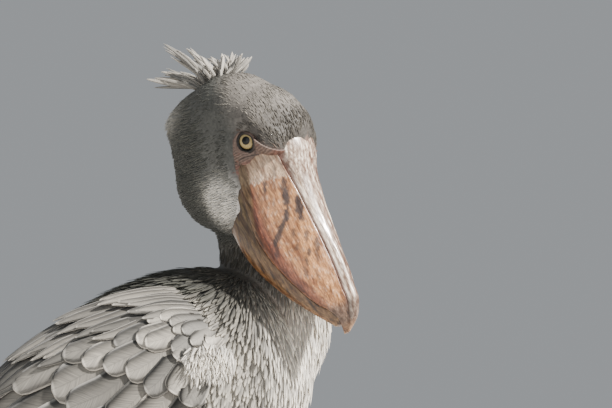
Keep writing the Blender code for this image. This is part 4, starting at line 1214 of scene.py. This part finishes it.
def upper_colours(local):
    """Tan walls with a red lower band, a pale shelf at the root, dark marks and an ivory ridge, kept bright
    along its near edge as a painted highlight.
    """
    a, b, c = local.T
    _, edge, groove, _, strip = upper_lines(a)
    height = (b - edge) / np.maximum(groove - edge, 1e-4)
    lines = streaks(a, height * 10, 6, 4.0)
    fleck = drawn_out(local, 0.35, 0.0032, 7)
    on_ridge = step(0.94, 1.02, height) * step(1.10, 1.00, np.abs(c) / strip)
    groove_width = 0.0011 + 0.0007 * step(0.070, 0.045, a)
    in_groove = np.exp(-(((np.abs(c) - strip) / groove_width) ** 2)) * step(0.90, 0.97, height)
    in_groove = in_groove * step(1.3, 1.05, height)
    band = step(0.40, 0.20, height + 0.12 * (lines - 0.5)) * step(0.235, 0.20, a)
    band = band * step(0.0, 0.05, height - 0.20 * step(0.12, 0.05, a))
    rim = step(0.15, 0.08, height - 0.14 * step(0.10, 0.04, a)) * step(0.15, 0.07, a)
    ivory_lines = step(0.48, 0.66, streaks(a, c * 900, 8, 1.0) + 0.12 * fleck)
    # Painted highlight: along the ridge's edge by the near groove the brown streaks and stains are left
    # out, so a bright ivory line stands for the horn's gloss.
    near_groove_highlight = step(0.72, 0.90, c / strip) * (0.10 + 0.90 * step(0.045, 0.085, a))
    stained = step(-0.10, 0.30, drawn_out(local, 0.22, 0.0065, 18)) * (1.0 - near_groove_highlight)
    stained = stained * (0.60 + 0.40 * step(0.25, -0.25, c / strip))
    scuffed = step(0.2, 0.9, drawn_out(local, 0.22, 0.0045, 17)) * step(0.15, 0.05, a)
    border = 0.040 + 0.018 * height + 0.0035 * fleck
    fringe = np.exp(-(((a - border) / 0.0030) ** 2)) * step(-0.3, 0.5, drawn_out(local, 0.35, 0.0022, 19))
    marks = bill_marks(a, height, c, 0.45 * drawn_out(local, 0.35, 0.0028, 20))
    return blend(
        HORN_TAN, (HORN_ROSE, 0.65 * step(0.35, 0.75, lines) * step(0.9, 0.3, height)),
        (HORN_BROWN, 0.65 * scuffed), (HORN_IVORY, 0.22 * step(0.2, 0.9, fleck)),
        (HORN_BROWN, 0.20 * step(-0.2, -0.9, fleck)), (HORN_RED, 0.85 * band),
        (HORN_SCUFFED, 0.70 * step(0.003, -0.003, a - border)), (HORN_IVORY, 0.55 * fringe),
        (HORN_OLIVE_AND_SHADE, 0.85 * rim), (HORN_DARK, marks), (HORN_IVORY, on_ridge),
        (HORN_BROWN, 0.75 * on_ridge * (1.0 - ivory_lines) * (1.0 - near_groove_highlight)),
        (HORN_BROWN, 0.95 * on_ridge * stained), (HORN_RED, 0.90 * in_groove),
        (NAIL_GREY, 0.85 * step(0.214, 0.226, a)), (NAIL_TAN, step(0.238, 0.248, a)),
    )


def lower_colours(local):
    a, b, _ = local.T
    top, keel = along(BILL_EDGE, a), along(BILL_KEEL, a)
    height = (b - keel) / np.maximum(top - keel, 1e-4)
    lines = streaks(a, height * 8, 9, 3.0)
    fleck = drawn_out(local, 0.4, 0.006, 10)
    return blend(
        # The olive ground is darkened further as painted shade.
        HORN_OLIVE_AND_SHADE, (HORN_TAN, 0.55 * step(0.50, 0.05, height) + 0.25 * step(0.06, 0.16, a)),
        (HORN_BROWN, 0.55 * step(0.50, 0.8, lines)), (HORN_DARK, 0.75 * step(0.10, 0.8, fleck)),
        # A painted highlight along the cutting edge at the top.
        (HORN_IVORY, 0.35 * step(0.93, 0.99, height)),
    )


def bill_piece(name, rings, colours):
    """One half of the bill, its horn a little uneven between the root and the tip."""
    local = closed_curve(rings, parts=5)
    flat = local.reshape(-1, 3)
    out = unit(local - local.mean(axis=1, keepdims=True)).reshape(-1, 3)
    grain = drawn_out(flat, 0.25, 0.007, 12)
    face = step(0.0, 0.02, flat[:, 0]) * step(0.245, 0.22, flat[:, 0])
    moved = flat + out * (0.00022 * grain * face)[:, None]
    points, faces = tube_mesh(to_world(moved).reshape(local.shape))
    mark = np.clip(colours(flat), 0.0, 1.0)
    return place(name, closed_mesh(name, points, faces, mark=mark, horn_place=flat), "horn")


def bill_stations(last, count):
    s = np.linspace(0.0, 1.0, count)
    return between(BILL_START, last, 1 - (1 - s) ** 1.25)


def nostril(local):
    """Sinks the slit of each nostril, at the bill's root in the groove beside its ridge."""
    a, b, c = NOSTRIL_MIDDLE
    for side in (1, -1):
        offset = (local - np.array([a, b, side * c])) / np.array(NOSTRIL_HALF)
        sink = NOSTRIL_DEPTH * step(1.0, 0.55, np.linalg.norm(offset, axis=-1))
        local = local - np.stack([0 * sink, 0.7 * sink, side * 0.7 * sink], axis=-1)
    return local


def eye_frame(way, side, upright):
    """An eye's middle, the way that it or its lids face, and two ways square to that."""
    axis = unit(np.array([way[0], way[1], side * way[2]]) @ HEAD_AXES)
    across = unit(np.cross(axis, upright))
    return to_world([0.0, 0.0, side * EYE_OUT]), axis, across, np.cross(across, axis)


def eye_piece(side, name):
    """The eyeball, its pole at the middle of the pupil, with a slightly domed front."""
    middle, gaze, across, upward = eye_frame(GAZE, side, [0.0, 0.0, 1.0])
    tilt = np.linspace(0.004, math.pi - 0.004, 48)[:, None]
    turn = circle(64)[None, :]
    dome = EYE_RADIUS - 0.0001 + 0.0008 * step(math.radians(50), math.radians(25), tilt)
    flat = across * (np.sin(tilt) * np.cos(turn))[..., None]
    flat = flat + upward * (np.sin(tilt) * np.sin(turn))[..., None]
    points = middle + dome[..., None] * (flat + gaze * (np.cos(tilt) * np.ones_like(turn))[..., None])
    mesh = closed_mesh(
        name, *tube_mesh(points), from_pupil=np.degrees(tilt * np.ones_like(turn)).ravel(),
        round_pupil=(np.ones_like(tilt) * turn).ravel(),
    )
    return place(name, mesh, "eye")


def lid_piece(side, name):
    """The two lids as one rolled rim, thicker above, with fine folds outside it."""
    middle, axis, across, upward = eye_frame(LID_AXIS, side, CROWNWARD)
    middle = middle + axis * LID_OUT
    around, thick = 96, 20
    turn, roll = circle(around)[:, None], circle(thick)[None, :]
    above = step(-0.2, 0.9, np.sin(turn))
    ring = LID_RING - 0.0027 * above - 0.0009 * np.cos(turn)
    inward = np.where(np.sin(roll) < 0.0, 2.4, 0.9)
    fold = LID_THICK + 0.0010 * above + 0.00016 * np.sin(turn * 17) * np.sin(roll)
    out = across * np.cos(turn)[..., None] + upward * np.sin(turn)[..., None]
    points = middle + out * (ring + fold * np.cos(roll))[..., None]
    points = points + axis * (fold * np.sin(roll) * inward)[..., None]
    faces = []
    for i in range(around):
        for j in range(thick):
            a, b = i * thick, ((i + 1) % around) * thick
            k = (j + 1) % thick
            faces.append((a + j, b + j, b + k, a + k))
    skin = (above * step(-0.1, 0.7, np.cos(roll))).ravel()
    mark = blend(LID_DARK, (FACE_SKIN, 0.8 * skin))
    return place(name, closed_mesh(name, points.reshape(-1, 3), faces, mark=mark), "lid_skin")


def face_piece(side, name):
    """The bare folded skin between eye, gape and bill, finer than the skin that it lies on, with painted
    highlight on its folds' tops and painted shade in their troughs, in its creases and along its border.
    """
    a, b = np.meshgrid(np.linspace(*FACE_AHEAD), np.linspace(*FACE_ABOVE), indexing="ij")

    def spot_at(reach):
        return np.stack([a.ravel(), b.ravel(), side * reach], axis=1)

    def inside_at(reach):
        return skin_depth(spot_at(reach)) < 0.0

    spot = spot_at(outer_reach(inside_at, a.size, *FACE_REACH, rounds=24))
    bare = step(0.35, 1.0, bareness(spot)) * step(0.0030, 0.0005, spot[:, 0] - along(HORN_ROOT, spot[:, 1]))
    # Painted shade: the bare skin's border with the feathers is darkened, as if the brow and feathered edge
    # shaded it.
    border = 1.0 - step(0.85, 1.0, bareness(spot))
    fold, crease, rosy = face_folds(spot)
    raised = (0.0006 + 0.0004 * fold - 0.0006 * crease) * bare - 0.0030 * (1.0 - bare)
    outer = spot + np.array([0.0, 0.0, side]) * raised[:, None]
    inner = spot - np.array([0.0, 0.0, side]) * 0.004
    grid = np.concatenate([outer.reshape(*a.shape, 3), inner.reshape(*a.shape, 3)[:, ::-1]], axis=1)
    points, faces = tube_mesh(to_world(grid))
    # Painted shade in the folds' troughs and the creases; the folds' tops get a painted highlight below.
    dark = np.maximum(np.maximum(0.45 * step(-0.1, -0.8, fold), 0.9 * crease), 0.85 * border)
    shade = blend(
        FACE_SKIN, (FACE_PAINTED_HIGHLIGHT, 0.40 * step(0.1, 0.9, fold)), (FACE_ROSE, 0.60 * rosy), (FACE_PAINTED_SHADE, dark),
    ).reshape(*a.shape, 3)
    mark = np.concatenate([shade, shade[:, ::-1]], axis=1).reshape(-1, 3)
    return place(name, closed_mesh(name, points, faces, mark=mark), "face_skin")


def face_folds(local):
    """Height of the fine folds, depth of the long creases and redness beside the horn."""
    a, b = local[:, 0], local[:, 1]
    gap = along(HORN_ROOT, b) - a
    waver = 0.0010 * ripple(local, 0.014, 15)
    beside_horn = np.sin((gap + waver) / 0.0029 * 2 * math.pi)
    reach = np.hypot(a, b)
    about_eye = np.sin((reach + 0.5 * waver) / 0.0023 * 2 * math.pi)
    fold = between(beside_horn, 0.55 * about_eye, step(0.019, 0.013, reach))
    line = b - 0.004 + 0.62 * (a - 0.014) + waver
    crease = np.exp(-((line / 0.0011) ** 2)) * step(0.010, 0.016, a) * step(0.034, 0.028, a)
    crease = np.maximum(crease, np.exp(-((gap - 0.0075 + waver) / 0.0011) ** 2) * step(0.012, 0.0, b))
    rosy = step(0.006, 0.001, gap) + 0.6 * step(0.55, 1.0, ripple(local, 0.010, 16))
    return fold, crease, np.clip(rosy, 0.0, 1.0)


def leg_piece(side, name):
    points, faces = limb(SHANK, side).tube(110, 36)
    return place(name, closed_mesh(name, points, faces), "leg_skin")


def toe_rings(side, kind, start, end, count, radius_at, rise=0.0):
    """Rings of a toe or claw along its heading, flat below, its underside raised in the middle."""
    heading = -side * math.radians(TOES[kind][0])
    run = np.array([math.cos(heading), math.sin(heading), 0.0])
    across = np.array([-math.sin(heading), math.cos(heading), 0.0])
    root = np.array([FOOT_MIDDLE[0], -side * FOOT_MIDDLE[1], 0.0])
    turn = circle(24)
    height = np.maximum(np.sin(turn), -0.5) + 0.5
    rings = []
    for s in np.linspace(0.0, 1.0, count):
        radius = radius_at(s)
        ring = root + run * between(start, end, s) + across * (radius * np.cos(turn))[:, None]
        ring[:, 2] = rise * math.sin(math.pi * s) + radius * height
        rings.append(ring)
    return np.stack(rings)


def toe_piece(side, kind, name):
    length = MIDDLE_TOE * TOES[kind][1]

    def radius(s):
        pads = 1.0 + 0.10 * math.cos(6 * math.pi * s)
        scutes = 1.0 + 0.02 * math.cos(2 * math.pi * s * length / SCUTE_LENGTH)
        end = 1.0 - 0.28 * float(step(0.90, 1.0, s))
        return (TOE_RADIUS - 0.0035 * s) * pads * scutes * end

    rings = toe_rings(side, kind, 0.0, length, 130, radius)
    return place(name, closed_mesh(name, *tube_mesh(rings)), "leg_skin")


def claw_piece(side, kind, name):
    start = MIDDLE_TOE * TOES[kind][1] - 0.002

    def radius(s):
        return CLAW_RADIUS * (1 - s) ** 0.7 + 0.0003

    rings = toe_rings(side, kind, start, start + CLAW_LENGTH, 24, radius, CLAW_RISE)
    return place(name, closed_mesh(name, *tube_mesh(rings)), "claw")


# Finishes.
def finish_tree(name):
    made = bpy.data.materials.new(name)
    made.use_nodes = True
    tree = made.node_tree
    return made, tree, tree.nodes["Principled BSDF"]


def settle(shader, **values):
    """Sets a shader's constants by name, with _ for a space."""
    for key, value in values.items():
        shader.inputs[key.replace("_", " ")].default_value = value


def seen(tree, name, what="Fac"):
    return node(tree, "ShaderNodeAttribute", attribute_name=name).outputs[what]


def sized(tree, name):
    """A fact that has a sign, without it."""
    return maths(tree, "ABSOLUTE", seen(tree, name))


def mixed(tree, share, low, high, how="MIX"):
    made = node(tree, "ShaderNodeMix", data_type="RGBA", blend_type=how)
    for target, value in ((made.inputs[0], share), (made.inputs[6], low), (made.inputs[7], high)):
        give(tree, target, (*value, 1.0) if isinstance(value, tuple) else value)
    return made.outputs[2]


def times(tree, colour, factor):
    return mixed(tree, 1.0, colour, factor, "MULTIPLY")


def scaled(colour, factor):
    return tuple(c * factor for c in colour)


def grey(value):
    return (value, value, value)


def ramped(tree, value, low, high, first=0.0, last=1.0):
    made = node(tree, "ShaderNodeMapRange", clamp=True)
    feed(tree, made, Value=value, From_Min=low, From_Max=high, To_Min=first, To_Max=last)
    return made.outputs[0]


def noise(tree, vector, scale, detail=3.0):
    made = node(tree, "ShaderNodeTexNoise")
    feed(tree, made, Vector=vector, Scale=scale, Detail=detail)
    return made.outputs[0]


def object_place(tree):
    return node(tree, "ShaderNodeTexCoord").outputs["Object"]


def bumped(tree, shader, height, strength, distance):
    made = node(tree, "ShaderNodeBump")
    feed(tree, made, Height=height, Strength=strength, Distance=distance)
    tree.links.new(made.outputs[0], shader.inputs["Normal"])


def barbs(tree, rate):
    """Slanting lines of barbs either side of a feather's shaft, between 0 and 1."""
    across = sized(tree, "across")
    run = maths(tree, "MULTIPLY", seen(tree, "along"), rate)
    slant = maths(tree, "SUBTRACT", run, maths(tree, "MULTIPLY", across, rate * 0.18))
    spot = node(tree, "ShaderNodeCombineXYZ")
    feed(tree, spot, X=slant, Y=maths(tree, "MULTIPLY", seen(tree, "tint"), 90.0),
         Z=maths(tree, "MULTIPLY", across, 0.8))
    return noise(tree, spot.outputs[0], 1.0, 2.0)


def small_feather_finish(name, shade, rim, spread):
    """Small feathers, darker down the middle and paler at the rim, no two quite alike."""
    made, tree, shader = finish_tree(name)
    base = seen(tree, "mark", "Color")
    edge = maths(tree, "MAXIMUM", ramped(tree, sized(tree, "across"), 0.45, 0.95),
                 ramped(tree, seen(tree, "along"), 0.70, 0.98))
    pale = times(tree, base, (rim, 0.98 * rim, 0.94 * rim))
    colour = mixed(tree, edge, times(tree, base, grey(shade)), pale)
    high = 1.0 + 0.8 * spread
    colour = times(tree, colour, mixed(tree, seen(tree, "tint"), grey(1.0 - spread),
                                       (high, 0.985 * high, 0.96 * high)))
    tree.links.new(colour, shader.inputs["Base Color"])
    settle(shader, Roughness=0.75, Specular_IOR_Level=0.15, Sheen_Weight=0.05)
    return made


def wing_feather_finish(name, base, fringe, shade):
    """Large feathers: barbs, a dark shaft, a pale fringe, and painted shade towards the root, on the
    tucked-in side and towards the edges.
    """
    made, tree, shader = finish_tree(name)
    across, along_it = sized(tree, "across"), seen(tree, "along")
    lines = barbs(tree, 70.0)
    # Painted shade: darker towards the root, where the feather above would shade it.
    ground = mixed(tree, ramped(tree, along_it, 0.25, 0.90), scaled(base, shade), base)
    colour = mixed(tree, seen(tree, "pale"), scaled(base, 0.35), ground)
    white = grey(1.0)
    for value, low, high, first, last in (
        # Painted shade along the tucked-in side, under the neighbouring feather.
        (seen(tree, "across"), -0.95, 0.10, grey(shade), white),
        (lines, 0.30, 0.70, (0.70, 0.70, 0.71), (1.25, 1.24, 1.21)),
        # Painted shade towards both edges, where the feathers overlap.
        (across, 0.30, 0.85, white, (0.50, 0.51, 0.53)),
    ):
        colour = times(tree, colour, mixed(tree, ramped(tree, value, low, high), first, last))
    rim = maths(tree, "MAXIMUM", ramped(tree, across, 0.86, 0.97), ramped(tree, along_it, 0.960, 0.990))
    colour = mixed(tree, maths(tree, "MULTIPLY", rim, 0.85), colour, fringe)
    shaft = maths(tree, "MULTIPLY", ramped(tree, across, 0.055, 0.02), 0.45)
    colour = mixed(tree, shaft, colour, scaled(base, 0.45))
    colour = times(tree, colour, mixed(tree, seen(tree, "tint"), (0.56, 0.57, 0.58), (1.40, 1.37, 1.32)))
    tree.links.new(colour, shader.inputs["Base Color"])
    settle(shader, Roughness=0.62, Specular_IOR_Level=0.30, Sheen_Weight=0.06)
    bumped(tree, shader, lines, 0.35, 0.0006)
    return made


def skin_finish(name, depth):
    made, tree, shader = finish_tree(name)
    folds = noise(tree, object_place(tree), 330.0, 4.0)
    grain = mixed(tree, ramped(tree, folds, 0.3, 0.7), (0.62, 0.60, 0.60), (1.15, 1.12, 1.10))
    tree.links.new(times(tree, seen(tree, "mark", "Color"), grain), shader.inputs["Base Color"])
    settle(shader, Roughness=0.60)
    bumped(tree, shader, folds, 0.6, depth)
    return made


def horn_finish():
    """Horn with fine lines along it, blotches of stain and worn pale flecks, slightly polished."""
    made, tree, shader = finish_tree("horn")
    spot = node(tree, "ShaderNodeMapping")
    feed(tree, spot, Vector=seen(tree, "horn_place", "Vector"), Scale=(0.16, 1.0, 1.0))
    lines = noise(tree, spot.outputs[0], 620.0, 4.0)
    flecks = noise(tree, object_place(tree), 420.0, 3.0)
    blotches = noise(tree, spot.outputs[0], 190.0, 5.0)
    colour = seen(tree, "mark", "Color")
    for value, low, high, first, last in (
        (lines, 0.34, 0.66, (0.55, 0.50, 0.46), (1.26, 1.24, 1.20)),
        (blotches, 0.36, 0.56, (0.50, 0.40, 0.34), (1.10, 1.08, 1.06)),
        (flecks, 0.60, 0.74, grey(1.0), (1.7, 1.7, 1.65)),
    ):
        colour = times(tree, colour, mixed(tree, ramped(tree, value, low, high), first, last))
    tree.links.new(colour, shader.inputs["Base Color"])
    tree.links.new(ramped(tree, lines, 0.3, 0.7, 0.30, 0.48), shader.inputs["Roughness"])
    settle(shader, Coat_Weight=0.50, Coat_Roughness=0.16)
    bumped(tree, shader, lines, 0.45, 0.0008)
    return made


def eye_finish():
    """A yellow iris with fine rays and a dark rim about a black pupil, wet all over."""
    made, tree, shader = finish_tree("eye")
    angle, turn = seen(tree, "from_pupil"), seen(tree, "round_pupil")
    spot = node(tree, "ShaderNodeCombineXYZ")
    feed(tree, spot, X=maths(tree, "MULTIPLY", maths(tree, "COSINE", turn), 9.0),
         Y=maths(tree, "MULTIPLY", maths(tree, "SINE", turn), 9.0), Z=maths(tree, "MULTIPLY", angle, 0.05))
    rays = noise(tree, spot.outputs[0], 2.0, 3.0)
    iris = mixed(tree, rays, (0.30, 0.21, 0.08), (0.56, 0.45, 0.22))
    iris = mixed(tree, ramped(tree, angle, *IRIS_DARKENS), iris, (0.16, 0.12, 0.05))
    colour = mixed(tree, ramped(tree, angle, *PUPIL_END), grey(0.004), iris)
    colour = mixed(tree, ramped(tree, angle, *IRIS_END), colour, (0.020, 0.016, 0.013))
    tree.links.new(colour, shader.inputs["Base Color"])
    settle(shader, Roughness=0.30, Specular_IOR_Level=0.15, Coat_Weight=0.35, Coat_Roughness=0.03)
    return made


def grained_finish(name, dark, light, scale, rough, depth, cells=False):
    """A skin or horn with grain or scales in it, on its own coordinates."""
    made, tree, shader = finish_tree(name)
    grain = noise(tree, object_place(tree), scale, 4.0)
    if cells:
        scales = node(tree, "ShaderNodeTexVoronoi", feature="DISTANCE_TO_EDGE")
        feed(tree, scales, Vector=object_place(tree), Scale=scale)
        grain = ramped(tree, outlet(scales, "Distance"), 0.0, 0.12)
    tree.links.new(mixed(tree, grain, dark, light), shader.inputs["Base Color"])
    settle(shader, Roughness=rough)
    bumped(tree, shader, grain, 0.6, depth)
    return made


FINISH = {
    "head_feathers": small_feather_finish("head_feathers", 0.80, 1.28, 0.22),
    "body_feathers": small_feather_finish("body_feathers", 0.60, 1.55, 0.34),
    "wing_feathers": wing_feather_finish("wing_feathers", COVERT, COVERT_FRINGE, 0.38),
    "crest_feathers": wing_feather_finish("crest_feathers", CREST_PALE, CREST_FRINGE, 0.80),
    "skin": skin_finish("skin", 0.0010),
    "horn": horn_finish(),
    "eye": eye_finish(),
    "lid_skin": skin_finish("lid_skin", 0.0005),
    "face_skin": skin_finish("face_skin", 0.0004),
    "leg_skin": grained_finish("leg_skin", LEG_DARK, LEG_PALE, 420.0, 0.55, 0.0008, True),
    "claw": grained_finish("claw", CLAW_DARK, CLAW_PALE, 300.0, 0.35, 0.0003),
}


def carry(made, slot, *nodes):
    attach(made, "root")
    if nodes:
        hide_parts(*nodes)


def prepared_skin():
    """The skin with all that the feathers read from it, and where it lies on its unwrap."""
    mesh = skin_mesh()
    away = read_out(mesh.vertices, "normal", 3).astype(float)
    at = Regions(coordinates(mesh))
    long, wide, lift = coat_sizes(at)
    facts = {"lie": coat_lie(at, away), "away": away, "long": long, "wide": wide, "lift": lift,
             "mark": coat_colours(at), **coat_parts(at)}
    for key, values in facts.items():
        tell(mesh, key, values)
    helper = linked("skin_layout", mesh)
    ground = Ground(mesh, unwrap(helper))
    bpy.data.objects.remove(helper)
    return mesh, ground


def build_plumage():
    mesh, ground = prepared_skin()
    carry(wing_piece(ground, "wing_feathers_right", False), "pale_feathers", "wing_right")
    carry(wing_piece(ground, "wing_feathers_left", True), "pale_feathers", "wing_left")
    carry(tail_piece(ground), "slate_feathers", "tail")
    carry(crest_piece(ground), "pale_feathers")
    mesh.transform(Matrix.Translation(Vector(SHIFT)))
    tree, names = planter()
    plumes = {name: plume(name, *rows) for name, rows in PLUMES.items()}
    for name, feather, finish, part, spacing, density, seed, wander, size, sink in COAT_PIECES:
        made = plant(name, mesh, tree, names, Feather=plumes[feather], Part=part, Spacing=spacing,
                     Density=density, Seed=seed, Wander=wander, Patch=BAKE_PATCH,
                     Finish=FINISH[finish + "_feathers"], Size=size, Sink=sink)
        carry(made, "slate_feathers")
    for feather in plumes.values():
        bpy.data.objects.remove(feather)
    skin = linked("skin", mesh)
    mesh.materials.append(FINISH["skin"])
    mesh.shade_smooth()
    carry(skin, "slate_feathers", "head", "neck", "torso", "thigh_right", "thigh_left")


def build_hard_parts():
    upper = nostril(upper_rings(bill_stations(BILL_TIP, UPPER_RINGS)))
    lower = lower_rings(bill_stations(LOWER_BILL_END - HORN_SHORT, LOWER_RINGS))
    carry(bill_piece("bill_upper_horn", upper, upper_colours), "horn", "bill_upper")
    carry(bill_piece("bill_lower_horn", lower, lower_colours), "horn", "bill_lower")
    for side, name in ((1, "right"), (-1, "left")):
        carry(eye_piece(side, "eyeball_" + name), "iris", "eye_" + name)
        carry(lid_piece(side, "lids_" + name), "slate_feathers")
        carry(face_piece(side, "face_skin_" + name), "slate_feathers")
        carry(leg_piece(side, "leg_" + name), "leg_skin", "shank_" + name)
        for kind in TOES:
            carry(toe_piece(side, kind, f"{kind}_toe_{name}"), "leg_skin", f"toe_{kind}_{name}")
            carry(claw_piece(side, kind, f"{kind}_claw_{name}"), "claw", f"claw_{kind}_{name}")


def build_camera():
    lens = bpy.data.cameras.new("camera")
    lens.sensor_width = SENSOR
    lens.lens = SENSOR * CAMERA_AWAY * PIXELS_PER_METRE / FRAME_PIXELS[0]
    lens.clip_end = 60.0
    camera = linked("camera", lens)
    x = (FRAME_PIXELS[0] / 2 - EYE_PIXEL[0]) / PIXELS_PER_METRE
    z = EYE_HEIGHT - (FRAME_PIXELS[1] / 2 - EYE_PIXEL[1]) / PIXELS_PER_METRE
    camera.location = Vector((x, FACE_SIDE - CAMERA_AWAY, z)) + Vector(SHIFT)
    camera.rotation_euler = (math.pi / 2, 0.0, 0.0)
    bpy.context.scene.camera = camera


def light(name, kind, energy, way, **settings):
    """A light whose rays travel along a way, standing well back from the bird."""
    data = bpy.data.lights.new(name, kind)
    data.energy = energy
    for key, value in settings.items():
        setattr(data, key, value)
    made = linked(name, data)
    way = Vector(way).normalized()
    made.location = Vector((0.0, 0.0, LIGHTS_ABOVE)) - way * LIGHTS_AWAY
    made.rotation_euler = way.to_track_quat("-Z", "Y").to_euler()


def build_studio():
    h = FLOOR_HALF
    floor = plain_mesh("floor", [(-h, -h, 0), (h, -h, 0), (h, h, 0), (-h, h, 0)], [(0, 1, 2, 3)])
    finish, _, shader = finish_tree("pale_floor")
    settle(shader, Base_Color=(*FLOOR_PALE, 1.0), Roughness=0.8)
    floor.materials.append(finish)
    made = linked("floor", floor)
    world = bpy.data.worlds.new("studio")
    bpy.context.scene.world = world
    world.use_nodes = True
    settle(world.node_tree.nodes["Background"], Color=(*SKY, 1.0), Strength=SKY_STRENGTH)
    light("key", "SUN", SUN_STRENGTH, KEY_WAY, angle=math.radians(4.0), color=SUN_COLOUR)
    light("fill", "AREA", FILL_STRENGTH, FILL_WAY, size=3.0)


build_studio()
build_camera()
build_hard_parts()
build_plumage()
